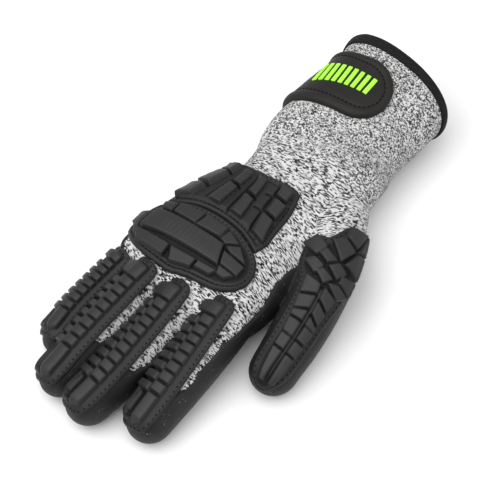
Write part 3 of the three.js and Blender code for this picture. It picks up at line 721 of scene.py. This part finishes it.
def from_line(points, spots, closed=True):
    """The distance of flat spots from a line of points, and the nearest point on it."""
    starts = points if closed else points[:-1]
    ends = np.roll(points, -1, axis=0) if closed else points[1:]
    best = np.full(len(spots), 1e9)
    foot = np.zeros_like(spots)
    for a, b in zip(starts, ends):
        run = b - a
        t = np.clip(((spots - a) @ run) / max(run @ run, 1e-12), 0, 1)
        on = a + t[:, None] * run
        far = np.linalg.norm(spots - on, axis=1)
        closer = far < best
        best[closer], foot[closer] = far[closer], on[closer]
    return best, foot


def inside(points, spots):
    """How far flat spots lie inside a closed line, negative outside it, and the nearest point on it."""
    far, foot = from_line(points, spots)
    within = np.zeros(len(spots), bool)
    for a, b in zip(points, np.roll(points, -1, axis=0)):
        if a[1] == b[1]:
            continue
        crosses = (a[1] > spots[:, 1]) != (b[1] > spots[:, 1])
        crossing = (b[0] - a[0]) * (spots[:, 1] - a[1]) / (b[1] - a[1]) + a[0]
        within ^= crosses & (spots[:, 0] < crossing)
    return np.where(within, far, -far), foot


def plate(spots, corners, edge=0.9, grow=0.0):
    """A share from 0 outside a plate's corners to 1 on its top, with an edge of that width."""
    far, _ = inside(np.array(corners, float), spots)
    return ease((far + grow + edge / 2) / edge)


def wrapped_sheet(
    name, tube, outline, relief, finish, flange=0, dark=None, grid=GRID, foot=-SHEET_SUNK
):
    """A moulded sheet: a flat grid trimmed to its outline, raised to its relief and laid on a tube. Its
    painted shade and light is 1 in the clefts inside the flange, where shade is painted, and -1 on the
    blocks, where light is painted on their tops."""
    made = bmesh.new()
    low, high = outline.min(0) - grid, outline.max(0) + grid
    counts = np.ceil((high - low) / grid).astype(int)
    bmesh.ops.create_grid(made, x_segments=int(counts[0]), y_segments=int(counts[1]), size=0.5)
    flat = low + (np.array([v.co for v in made.verts])[:, :2] + 0.5) * (high - low)
    far, _ = inside(outline, flat)
    made.verts.ensure_lookup_table()
    for vert, spot in zip(made.verts, flat):
        vert.co = (spot[0], spot[1], 0)
    bmesh.ops.delete(
        made, geom=[v for v, d in zip(made.verts, far) if d < -0.25 * grid], context="VERTS"
    )
    rim = [v for v in made.verts if v.is_boundary]
    _, onto = inside(outline, np.array([v.co for v in rim])[:, :2])
    for vert, spot in zip(rim, onto):
        vert.co = (spot[0], spot[1], 0)
    flat = np.array([v.co for v in made.verts])[:, :2]
    far, _ = inside(outline, flat)
    heights = relief(flat, np.maximum(far, 0))
    for vert, height in zip(made.verts, heights):
        vert.co.z = height
    if dark is not None:
        # Painted shade and light: a value that darkens the rubber in the clefts between the blocks and
        # lightens the blocks' tops.
        shade_levels = ease((SHEET_TOP + dark - heights) / 0.7) * ease((far - flange) / 0.7)
        shade_levels = shade_levels - ease((heights - SHEET_TOP - BLOCK_FACE) / 0.7)
        layer = made.verts.layers.float.new("recess")
        for vert, depth in zip(made.verts, shade_levels):
            vert[layer] = depth
    turned = bmesh.ops.extrude_edge_only(made, edges=[e for e in made.edges if e.is_boundary])
    for vert in turned["geom"]:
        if isinstance(vert, bmesh.types.BMVert):
            vert.co.z = foot
    spots = np.array([v.co for v in made.verts])
    move_to(made.verts, tube.lay(*spots.T))
    bmesh.ops.reverse_faces(made, faces=made.faces)
    return piece_from(name, made, finish)


def sheet_edge(far, top=SHEET_TOP, rounding=SHEET_ROUNDING):
    """The sheet's own height, rounded off at its rim."""
    share = 1 - np.clip(far / rounding, 0, 1)
    return top - 0.9 * (1 - np.sqrt(np.maximum(0, 1 - share**2)))


def welt(far, at, width, height):
    """A raised line, or a groove where its height is below 0."""
    return height * np.exp(-(((far - at) / width) ** 2))


rubber = Finish("guard_rubber", Roughness=0.5, Specular_IOR_Level=0.24)
place = rubber.place()
blotch = rubber.noise(place, 12)
grain = rubber.noise(place, 0.5, 3)
# The sheets' vertex value paints shade into the clefts, down to 0.002, and light on the blocks' tops, up
# to 0.023.
recess = rubber.node("Attribute", {"attribute_name": "recess"}, output="Fac")
black = rubber.node("ValToRGB", {"stops": [(0.25, grey(0.011)), (0.75, grey(0.018))]}, Fac=blotch)
for share, level in ((recess, 0.002), (recess * -1, 0.023)):
    black = rubber.node(
        "Mix", {"data_type": "RGBA"}, output=2, _0=share, _6=black, _7=(*grey(level), 1)
    )
rubber.feed("Base Color", black)
rubber.feed("Roughness", 0.42 + blotch * 0.16 + recess * 0.1)
rubber.bump(grain, 0.12, 0.5)

seams = []


def guard(name, tube, outline, relief, sewn=2.3, flange=3.6, passes=3, dark=1.2):
    """One guard, and the line that it is sewn along."""
    shape = rounded(outline, passes)
    made = wrapped_sheet(f"{name}_rubber", tube, shape, relief, rubber, flange, dark)
    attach(made, "root")
    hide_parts(f"{name}_guard")
    seams.append((tube, shape, sewn))


KNUCKLE_NEAR = [
    (-46, 160), (-42.5, 153), (-34.5, 147.4), (-27, 143), (-19.5, 140.4), (-10.8, 138),
    (0.5, 136.6), (10.5, 138), (19.9, 140.8), (25.5, 146.4), (27.6, 152),
]
KNUCKLE_FAR = [
    (-45.6, 164), (-43, 170), (-36, 175.4), (-28, 177.6), (-15, 177.9), (-5, 177.4), (1.6, 173.8),
    (10, 171.8), (19.5, 169), (26, 162.6), (27.8, 156),
]
KNUCKLE_PLATES = [
    [(-40.6, 160.2), (-36.4, 159), (-36.4, 167), (-40, 166.8)],
    [(-35.4, 151), (-29, 148.6), (-28.4, 153.6), (-33.8, 154.2)],
    [(-27.6, 147.5), (-14.6, 144), (-14, 151.4), (-27, 153)],
    [(-13.2, 143.6), (-0.4, 141.8), (0, 148), (-13, 151.2)],
    [(1, 141.8), (9.8, 143.8), (5, 148.8), (1, 148.2)],
    [(11.4, 144.4), (19.6, 149.2), (10.5, 150.4), (6.6, 149.4)],
    [(7.8, 152), (20.6, 151), (21.6, 157), (11.6, 158.2)],
    [(12, 159.6), (20.6, 158.4), (18, 163), (14, 163.6)],
    [(-35, 169.2), (-14.4, 167.6), (-13.4, 174), (-31, 174.4)],
    [(-12.8, 167.6), (1, 165.2), (1.4, 169.6), (-8.6, 173.8)],
    [(2.6, 164.8), (13, 162.8), (11.6, 166.4), (3, 168)],
]
LONG_PLATE = [(-34.6, 156.4), (4.6, 149.6), (11, 159.6), (-34.6, 166.6)]
RIBBED = [(-26, 158), (2, 153.4), (4.6, 157.6), (-26, 163)]
RIB_PITCH, RIB_HEIGHT = 2.4, 0.12
PLATE_HEIGHT, LONG_HEIGHT = 3.0, 3.1


def knuckle_relief(spots, far):
    height = sheet_edge(far) + welt(far, 1.5, 0.45, 0.4) - welt(far, 3.1, 0.4, 0.35)
    raised = np.zeros(len(spots))
    for corners in KNUCKLE_PLATES:
        raised = np.maximum(raised, plate(spots, corners, 0.9, 0.3))
    long = plate(spots, LONG_PLATE, 0.9, 0.3)
    run = (spots - (-13, 158.5)) @ np.array([0.98, -0.17])
    ribs = plate(spots, RIBBED, 1.5) * np.cos(run * 2 * math.pi / RIB_PITCH)
    return height + np.maximum(raised * PLATE_HEIGHT, long * LONG_HEIGHT) + ribs * RIB_HEIGHT


guard("knuckle", palm, KNUCKLE_NEAR + KNUCKLE_FAR[::-1], knuckle_relief, passes=1)


# The metacarpal guard covers the back of the hand. It is the same moulded rubber, sewn on along its
# rim: four columns of raised blocks that fan out towards the knuckles, each with one broad sloping
# face, and branching clefts between the columns.
BACK_NEAR = [(-38, 99), (-29.5, 99.2), (-20.8, 100.2), (-10.8, 99.4), (-2, 97.8), (3, 97.3), (8.5, 99.2)]
BACK_FAR = [(-42, 151), (-33, 146), (-25, 141.6), (-15, 138.4), (-4, 136.4), (6, 136.4), (20.6, 140.4)]
BACK_BLOCKS = [
    [(-35.5, 103), (-28.4, 102.4), (-29, 113.4), (-36.2, 114.6)],
    [(-36.6, 116.4), (-29.2, 115.4), (-30.4, 127.6), (-37.8, 129)],
    [(-38, 131), (-30.8, 129.6), (-31.4, 139), (-38.4, 143)],
    [(-22.4, 105.6), (-18.2, 105.2), (-17.4, 118), (-21.8, 118.6)],
    [(-22, 121), (-17, 120.6), (-15.4, 133.4), (-21.4, 135)],
    [(-14, 104.8), (-10, 104.4), (-7, 116.6), (-11.8, 117)],
    [(-11, 119.8), (-6, 119.4), (-1.6, 131.2), (-8, 132)],
    [(-1.2, 101), (4.6, 101), (5.4, 107.4), (-0.4, 107.8)],
    [(0.6, 110), (7.4, 109.4), (9.4, 117.6), (3, 118.2)],
    [(3, 120.6), (9.8, 119.8), (15.4, 133), (8, 131.8)],
]
OUTER_COLUMN = BACK_BLOCKS[:3]
BACK_HEIGHT = 3.5
BACK_CLEFTS = [
    [(-24.6, 104), (-24.2, 119.6), (-24.4, 134)],
    [(-24.2, 119.6), (-17, 119.4)],
    [(-15.6, 104), (-13.4, 118.4), (-10.2, 133)],
    [(-13.4, 118.4), (-6.4, 117.8)],
    [(-3, 101), (-1.4, 109), (1, 119.4), (6, 132.6)],
    [(-5, 110.4), (-1.4, 109), (6.4, 108.4)],
    [(-3, 120.6), (1, 119.4), (8.6, 118.6)],
    [(-38.6, 115.6), (-28, 114.4)],
    [(-39.4, 130), (-29.4, 128.6)],
]


CLEFT_FLOOR = SHEET_TOP - 0.6
SLOPE = 2.6


def back_relief(spots, far):
    height = sheet_edge(far) + welt(far, 1.5, 0.45, 0.35) - welt(far, 3.3, 0.4, 0.35)
    deck = 0.6 * ease((far - 3.6) / 2.0)
    raised = np.zeros(len(spots))
    for block in BACK_BLOCKS:
        if block in OUTER_COLUMN:
            tilt = 0.9
        else:
            a, b, c, d = block
            left = np.interp(spots[:, 1], [a[1], d[1]], [a[0], d[0]])
            tilt = np.clip((spots[:, 0] - left + SLOPE) / 3.4, 0, 1)
            block = [(a[0] - SLOPE, a[1]), b, c, (d[0] - SLOPE, d[1])]
        raised = np.maximum(raised, plate(spots, block, 1.0, 0.35) * (0.2 + 0.8 * tilt))
    height = height + np.maximum(deck, raised * BACK_HEIGHT)
    for line in BACK_CLEFTS:
        away, _ = from_line(np.array(line, float), spots, closed=False)
        cleft = 1 - ease((away - 0.35) / 0.7)
        height = height * (1 - cleft) + np.minimum(height, CLEFT_FLOOR) * cleft
    return height


guard("metacarpal", palm, BACK_NEAR + BACK_FAR[::-1], back_relief, passes=1, dark=0.3)


# The finger guards are long tongues of the same rubber, sewn to the fingers' backs. Each has two
# rows of blocks, a big one over the knuckle and a smooth pad at the tip, with a deep recess and a
# lip beside it, slots across it where the finger bends, and a fine groove in its flange.
FINGER_GUARDS = {
    # start, end, first slot and last slot along the tube, blocks between the slots, width
    "little": (0.374, 1.09, 0.475, 0.893, 7, 0.88),
    "ring": (0.308, 1.095, 0.426, 0.883, 8, 1.0),
    "middle": (0.28, 1.095, 0.397, 0.912, 9, 1.0),
    "index": (0.28, 1.1, 0.39, 0.888, 8, 1.0),
}
TONGUE_ROWS = [
    (0, -0.34, 0.3),
    (0.022, -0.44, 0.42),
    (0.06, -0.465, 0.475),
    (0.25, -0.47, 0.485),
    (0.44, -0.44, 0.485),
    (0.63, -0.42, 0.485),
    (0.82, -0.42, 0.485),
    (0.94, -0.4, 0.475),
    (1, -0.33, 0.4),
]
BLOCK_HEIGHT, SLOT = 2.3, 1.3
HOLLOW_DEPTH, LIP_HEIGHT = 1.5, 1.5


def tongue_relief(name):
    start, end, first, last, count, width = FINGER_GUARDS[name]
    length = fingers[name].length
    full = width * FINGER_WIDTH
    start, end, first, last = (x * length for x in (start, end, first, last))
    pitch = (last - first) / count
    left, right, outer, inner = 0.02 * full, 0.265 * full, -0.38 * full, -0.03 * full
    knuckle = start + 0.05 * (end - start)
    cuts = np.concatenate([[knuckle], first + pitch * np.arange(count + 1)])
    front, back, pad_start = knuckle - 0.5, first - SLOT / 2, last + SLOT / 2
    steep = 1 if name == "little" else 1.35

    def box(a, b, from_s, to_s):
        return [(a, from_s), (a, to_s), (b, to_s), (b, from_s)]

    def shape(*corners):
        return [(w * full, s) for w, s in corners]

    def relief(spots, far):
        w, s = spots.T
        height = sheet_edge(far) + welt(far, 1.2, 0.4, 0.25)
        height = height - welt(w, 0.325 * full, 0.32, 0.45) * ease((s - start - 4) / 3)
        ridge = plate(spots, box(-0.3 * full, 0.27 * full, start + 3, end - 6), 1.2)
        big, cubes = np.zeros(len(spots)), np.zeros(len(spots))
        for a, b in zip(cuts, cuts[1:]):
            block = box(left, right, a + SLOT / 2, b - SLOT / 2)
            big = np.maximum(big, plate(spots, block, 0.8, 0.15))
        for a, b in zip(cuts[1:] + 0.22 * pitch, cuts[2:] + 0.22 * pitch):
            block = box(outer, inner, a + SLOT, b - SLOT / 3)
            cubes = np.maximum(cubes, plate(spots, block, 0.8, 0.1))
        root = shape((-0.4, front + 1.5), (-0.4, back), (0.265, back), (0.265, front), (0, front))
        pad = shape(
            (0.02, pad_start), (0.02, end - 5), (0.1, end - 3.6), (0.265, end - 5.4), (0.265, pad_start)
        )
        hollow = shape(
            (-0.27, pad_start + 1.5), (-0.24, end - 7), (-0.05, end - 5.5), (-0.02, pad_start + 1.5)
        )
        lip = shape(
            (-0.41, pad_start), (-0.39, end - 6), (-0.2, end - 3.2), (0.02, end - 3.2),
            (-0.02, end - 5), (-0.17, end - 5.4), (-0.28, end - 8), (-0.3, pad_start),
        )
        slope = 1 - 0.18 * np.clip((w - left) / (right - left), 0, 1)
        tops = np.maximum(big * slope, plate(spots, pad, 1.2) * 0.85)
        height = height + 0.5 * ridge + BLOCK_HEIGHT * tops
        lean = steep - 0.35 * np.clip((w - outer) / (inner - outer), 0, 1)
        cubes = np.maximum(cubes, plate(spots, root, 1.0)) * BLOCK_HEIGHT * lean
        height = np.maximum(height, SHEET_TOP + cubes)
        height = height - HOLLOW_DEPTH * plate(spots, hollow, 1.2)
        return np.maximum(height, (SHEET_TOP + LIP_HEIGHT) * plate(spots, lip, 1.4))

    return relief


for name, (start, end, _, _, _, width) in FINGER_GUARDS.items():
    tube = fingers[name]
    full = width * FINGER_WIDTH
    at = [(start + a * (end - start)) * tube.length for a, _, _ in TONGUE_ROWS]
    inner = [(lo * full, s) for (_, lo, _), s in zip(TONGUE_ROWS, at)]
    outer = [(hi * full, s) for (_, _, hi), s in zip(TONGUE_ROWS, at)]
    guard(name, tube, inner + outer[::-1], tongue_relief(name), sewn=1.6, flange=4.2)


# The thumb guard is one long moulding of the same rubber, sewn on from the thumb's root to its tip.
# It has flat plates with deep clefts between them, and a thin raised rib down the middle of its
# front half.
THUMB_LEFT = [
    (6.6, 47.5), (2.8, 51.7), (-1.8, 55.8), (-6.5, 53.8), (-11.3, 56.3), (-13.8, 61), (-14.7, 67),
    (-13.6, 73.5), (-10.1, 79.2), (-9.8, 92), (-9, 104), (-9, 122), (-7.4, 133), (-4, 138),
]
THUMB_RIGHT = [
    (9.5, 45.7), (14.4, 45.8), (17.8, 47.4), (17.9, 52), (17.2, 58), (16.6, 65), (15.8, 71.5),
    (15, 79), (13.4, 85), (11.6, 93), (11, 104), (10.6, 122), (8.4, 133), (5, 138),
]
THUMB_PLATES = [
    [(7.8, 48.6), (15.8, 48.2), (11.4, 57.4), (6.6, 54)],
    [(16.5, 48.6), (17.6, 49.4), (17.2, 58.6), (13.2, 58.2)],
    [(0.6, 57.6), (5.4, 55.4), (10.2, 60), (5.6, 66.4)],
    [(12.2, 60.2), (16.4, 60), (15.2, 70.4), (8, 67)],
    [(-11.8, 60), (-6.4, 55.8), (-1.6, 61.4), (-5.2, 66)],
    [(-3.6, 65.4), (-1.4, 62.6), (3.8, 67.2), (0.2, 69)],
    [(1.4, 70.4), (5, 68.2), (8.8, 71.2), (6, 75)],
    [(-9.4, 69.2), (-5.2, 67.8), (-1, 71.2), (-3.8, 75.4)],
    [(-3, 74.4), (-0.6, 72.4), (4.2, 76), (1.4, 79)],
    [(8.2, 73), (14.4, 72.4), (13.6, 79.2), (7.6, 76)],
    [(3.6, 78.4), (7.2, 77.6), (12.4, 80.4), (8.8, 83.4)],
    [(-6.2, 77.2), (0.4, 80.2), (0.8, 84.4), (-5.8, 86.2)],
    [(3, 81.2), (8.4, 84.6), (7.4, 89.8), (3, 86.2)],
    [(-5.8, 88), (0.6, 86.4), (0.6, 92), (-5, 94.4)],
    [(3, 88.4), (7.2, 91.8), (7, 97.2), (3, 93.6)],
    [(-4.8, 95.8), (0.6, 94), (0.6, 98.6), (-4.6, 98.2)],
    [(3.2, 96), (7, 99.4), (6.8, 101), (3.2, 99.8)],
    [(-4.4, 99.8), (0.6, 100.4), (0.6, 107.4), (-3.8, 106.6)],
    [(3.4, 101), (7, 102.2), (6.6, 108.2), (3.2, 107.4)],
    [(-3.6, 108), (0.6, 108.6), (0.6, 114.4), (-3.4, 114)],
    [(3.2, 109), (6.8, 109.8), (6.4, 115.4), (3.2, 114.8)],
    [(-3.2, 115.6), (0.6, 116), (0.4, 130.4), (-1.8, 130.4)],
    [(3.2, 116.4), (6.4, 116.8), (5.6, 130.4), (3.4, 130.4)],
]


THUMB_HEIGHT, RIB_TOP = 2.6, 2.0


def thumb_relief(spots, far):
    w, s = spots.T
    raised = np.zeros(len(spots))
    for corners in THUMB_PLATES:
        raised = np.maximum(raised, plate(spots, corners, 0.8, 0.42))
    rib = welt(w, 1.9, 0.45, 1) * ease((s - 80) / 3) * ease((131 - s) / 3)
    height = sheet_edge(far) + welt(far, 1.4, 0.45, 0.3)
    return height + np.maximum(raised * THUMB_HEIGHT, rib * RIB_TOP)


guard("thumb", fingers["thumb"], THUMB_LEFT + THUMB_RIGHT[::-1], thumb_relief, sewn=2.0)


# The sewing round the guards' rims is black bonded thread, machine sewn through the rubber and the
# knit. Each stitch shows as a short flattened bead, 2.6 mm from the next.
STITCH_WIDTH, STITCH_HEIGHT = 0.6, 0.44
thread = Finish("black_thread", Roughness=0.8, Specular_IOR_Level=0.1)
twist = thread.noise(thread.place(), 0.25, 2)
thread.feed(
    "Base Color",
    thread.node("ValToRGB", {"stops": [(0.3, grey(0.001)), (0.8, grey(0.005))]}, Fac=twist),
)
thread.bump(twist, 0.1, 0.6)


def inset(points, by):
    """A closed line moved inwards."""
    after, before = np.roll(points, -1, axis=0), np.roll(points, 1, axis=0)
    run = after - before
    run /= np.maximum(np.linalg.norm(run, axis=1), 1e-9)[:, None]
    area = (points[:, 0] * after[:, 1] - after[:, 0] * points[:, 1]).sum()
    inward = np.stack([-run[:, 1], run[:, 0]], 1) * (1 if area > 0 else -1)
    moved = points + inward * by
    far, _ = inside(points, moved)
    return moved[far > by * 0.93]


def evenly(points, pitch):
    """Spots a pitch apart along a closed line, and the line's direction at each."""
    line = np.concatenate([points, points[:1]])
    run = np.concatenate([[0], np.cumsum(np.linalg.norm(np.diff(line, axis=0), axis=1))])
    at = np.arange(pitch / 2, run[-1], pitch)
    spots, ahead = (
        np.stack([np.interp(at + more, run, line[:, i]) for i in (0, 1)], 1) for more in (0, 0.2)
    )
    ahead -= spots
    return spots, ahead / np.linalg.norm(ahead, axis=1)[:, None]


bm = bmesh.new()
bmesh.ops.create_uvsphere(bm, u_segments=8, v_segments=4, radius=1)
stitch_bead = bpy.data.meshes.new("stitch_bead")
bm.to_mesh(stitch_bead)
bm.free()


def sewing(name, lines, pitch, lift, length):
    """The stitches along lines on tubes, as one piece."""
    x, y, z = np.array([v.co for v in stitch_bead.vertices]).T
    x, y, z = x * length / 2, y * STITCH_WIDTH / 2, z * STITCH_HEIGHT / 2
    made = bmesh.new()
    for tube, line in lines:
        spots, ahead = evenly(line, pitch)
        across = np.stack([-ahead[:, 1], ahead[:, 0]], 1)
        flat = spots[:, None] + ahead[:, None] * x[:, None] + across[:, None] * y[:, None]
        start = len(made.verts)
        for _ in spots:
            made.from_mesh(stitch_bead)
        made.verts.ensure_lookup_table()
        places = tube.lay(*flat.reshape(-1, 2).T, np.tile(lift + z, len(spots)))
        move_to(made.verts[start:], places)
    bmesh.ops.recalc_face_normals(made, faces=made.faces)
    piece = piece_from(name, made, thread)
    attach(piece, "root")


rims = [(tube, inset(shape, sewn)) for tube, shape, sewn in seams]
sewing("guard_stitches", rims, pitch=2.6, lift=SHEET_TOP + 0.06, length=1.25)


# The wrist tab is a thick soft rubber tongue that wraps round the wrist from the little finger's
# side. It is moulded with a rounded rim and a shallow groove inside it, and lies on the knit.
TAB_HEM = [
    (-58, 16), (-49, 15.3), (-40, 14.6), (-27, 14.2), (-16, 14.2), (-7, 12.9), (1, 14.8), (7, 18.6),
    (11.4, 23.6), (13.4, 30),
]
TAB_HAND = [
    (-58, 52), (-49, 51.8), (-40, 51.4), (-27, 50.4), (-16, 48.8), (-7, 47.7), (1, 46.8), (7, 44.6),
    (11.4, 40.4), (13.3, 34.5),
]
TAB_TOP, TAB_ROUNDING = 3.1, 1.6
TAB_SEAM = 4.6
tab_rubber = Finish("tab_rubber", Specular_IOR_Level=0.25)
place = tab_rubber.place()
blotch = tab_rubber.noise(place, 15)
tab_rubber.feed(
    "Base Color",
    tab_rubber.node(
        "ValToRGB", {"stops": [(0.3, (0.009, 0.008, 0.0066)), (0.7, (0.013, 0.012, 0.01))]}, Fac=blotch
    ),
)
tab_rubber.feed("Roughness", 0.52 + blotch * 0.12)
tab_rubber.bump(tab_rubber.noise(place, 0.4, 3), 0.1, 0.4)


def tab_relief(spots, far):
    height = sheet_edge(far, TAB_TOP, TAB_ROUNDING)
    return height - welt(far, TAB_SEAM, 0.6, 0.35) + welt(far, 2.4, 1.4, 0.45)


tab_shape = rounded(TAB_HEM + TAB_HAND[::-1])
tab = wrapped_sheet("tab", palm, tab_shape, tab_relief, tab_rubber, grid=0.5, foot=0.2)
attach(tab, "root")
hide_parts("wrist_tab")


# The tab's sewn line runs in the groove inside its rim. It is the same black bonded thread as on
# the guards, in longer stitches that lie closer together.
tab_seam = [(palm, inset(tab_shape, TAB_SEAM))]
sewing("tab_stitches", tab_seam, pitch=2.4, lift=TAB_TOP - 0.15, length=1.7)


# Nine plain bars of bright yellow-green rubber, moulded on to the tab near its free end. They lean
# with the wrist and are slightly raised, with softened edges.
BARS = 9
BAR_WIDTH, BAR_DEPTH, BAR_LIFT, BAR_BEVEL = 2.3, 0.9, 0.15, 0.25
bright = Finish("bright_bars", Roughness=0.5)
place = bright.place()
bright.feed(
    "Base Color",
    bright.node(
        "ValToRGB",
        {"stops": [(0.3, (0.36, 0.9, 0.04)), (0.7, (0.42, 1.0, 0.06))]},
        Fac=bright.noise(place, 5),
    ),
)
bright.bump(bright.noise(place, 0.5), 0.05, 0.4)
bm = bmesh.new()
for i in range(BARS):
    share = i / (BARS - 1)
    top = np.array([-32 + 31 * share, 28.6 - 4.6 * share])
    bottom = np.array([-28 + 28.4 * share, 40.4 - 6.4 * share])
    middle, run = (top + bottom) / 2, bottom - top
    spot = Matrix.Translation((*middle, TAB_TOP + BAR_LIFT))
    lean = Matrix.Rotation(math.atan2(run[1], run[0]), 4, "Z")
    block = Matrix.Diagonal((float(np.hypot(*run)), BAR_WIDTH, BAR_DEPTH, 1))
    bar = bmesh.ops.create_cube(bm, size=1, matrix=spot @ lean @ block)
    edges = list({e for v in bar["verts"] for e in v.link_edges})
    bmesh.ops.bevel(
        bm, geom=edges, offset=BAR_BEVEL, segments=2, profile=0.5, affect="EDGES", material=-1
    )
long_edges = [e for e in bm.edges if e.calc_length() > 3]
bmesh.ops.subdivide_edges(bm, edges=long_edges, cuts=6, use_grid_fill=True)
move_to(bm.verts, palm.lay(*np.array([v.co for v in bm.verts]).T))
bmesh.ops.recalc_face_normals(bm, faces=bm.faces)
bars = piece_from("tab_bars", bm, bright)
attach(bars, "root")


# The hem is bound with a black woven tape, 5 mm wide, folded over the knit's edge and sewn through.
# Its weave has fine ribs across it.
TAPE_PROFILE = [
    (5, 0.2), (5.1, 0.8), (4.4, 1.15), (2.4, 1.3), (0.4, 1.2), (-0.6, 0.75), (-1.05, -0.1),
    (-1.05, -1.4), (-0.6, -2.2), (0.4, -2.6), (2.4, -2.7), (4.6, -2.6), (5, -2.2), (5, -1.6),
]
TAPE_TURNS = 160
TAPE_RIB, TAPE_PICK = 0.55, 0.8
tape_finish = Finish("hem_tape", Roughness=0.75, Specular_IOR_Level=0.15)
uv = tape_finish.node("UVMap", {"uv_map": "weave"})
ribs = (tape_finish.node("SeparateXYZ", output=0, Vector=uv) * (2 * math.pi / TAPE_RIB)).wave()
picks = (tape_finish.node("SeparateXYZ", output=1, Vector=uv) * (2 * math.pi / TAPE_PICK)).wave()
lint = tape_finish.noise(tape_finish.place(), 1.5)
tape_finish.feed(
    "Base Color",
    tape_finish.node("ValToRGB", {"stops": [(0.3, grey(0.005)), (0.7, grey(0.012))]}, Fac=lint),
)
tape_finish.bump(ribs * 0.5 + ribs * picks * 0.4, 0.12, 0.6)
bm = bmesh.new()
bmesh.ops.create_grid(bm, x_segments=TAPE_TURNS, y_segments=len(TAPE_PROFILE), size=0.5)
flat = np.array([v.co for v in bm.verts])[:, :2] + 0.5
steps = flat[:, 1] * len(TAPE_PROFILE)
profile = np.array(TAPE_PROFILE + TAPE_PROFILE[:1], float)
station, offset = (np.interp(steps, range(len(profile)), column) for column in profile.T)
girth = palm.arcs[0, -1] * 2
weave = bm.loops.layers.uv.new("weave")
for face in bm.faces:
    for loop in face.loops:
        k = loop.vert.index
        loop[weave].uv = (flat[k][0] * girth, steps[k])
move_to(bm.verts, palm.wrap((flat[:, 0] * 2 - 1) * math.pi, station, offset))
bmesh.ops.remove_doubles(bm, verts=bm.verts, dist=1e-6)
bmesh.ops.recalc_face_normals(bm, faces=bm.faces)
binding = piece_from("binding", bm, tape_finish)
soft = binding.modifiers.new("soft", "SUBSURF")
soft.levels = 1
soft.render_levels = 1
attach(binding, "root")
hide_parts("cuff_binding")
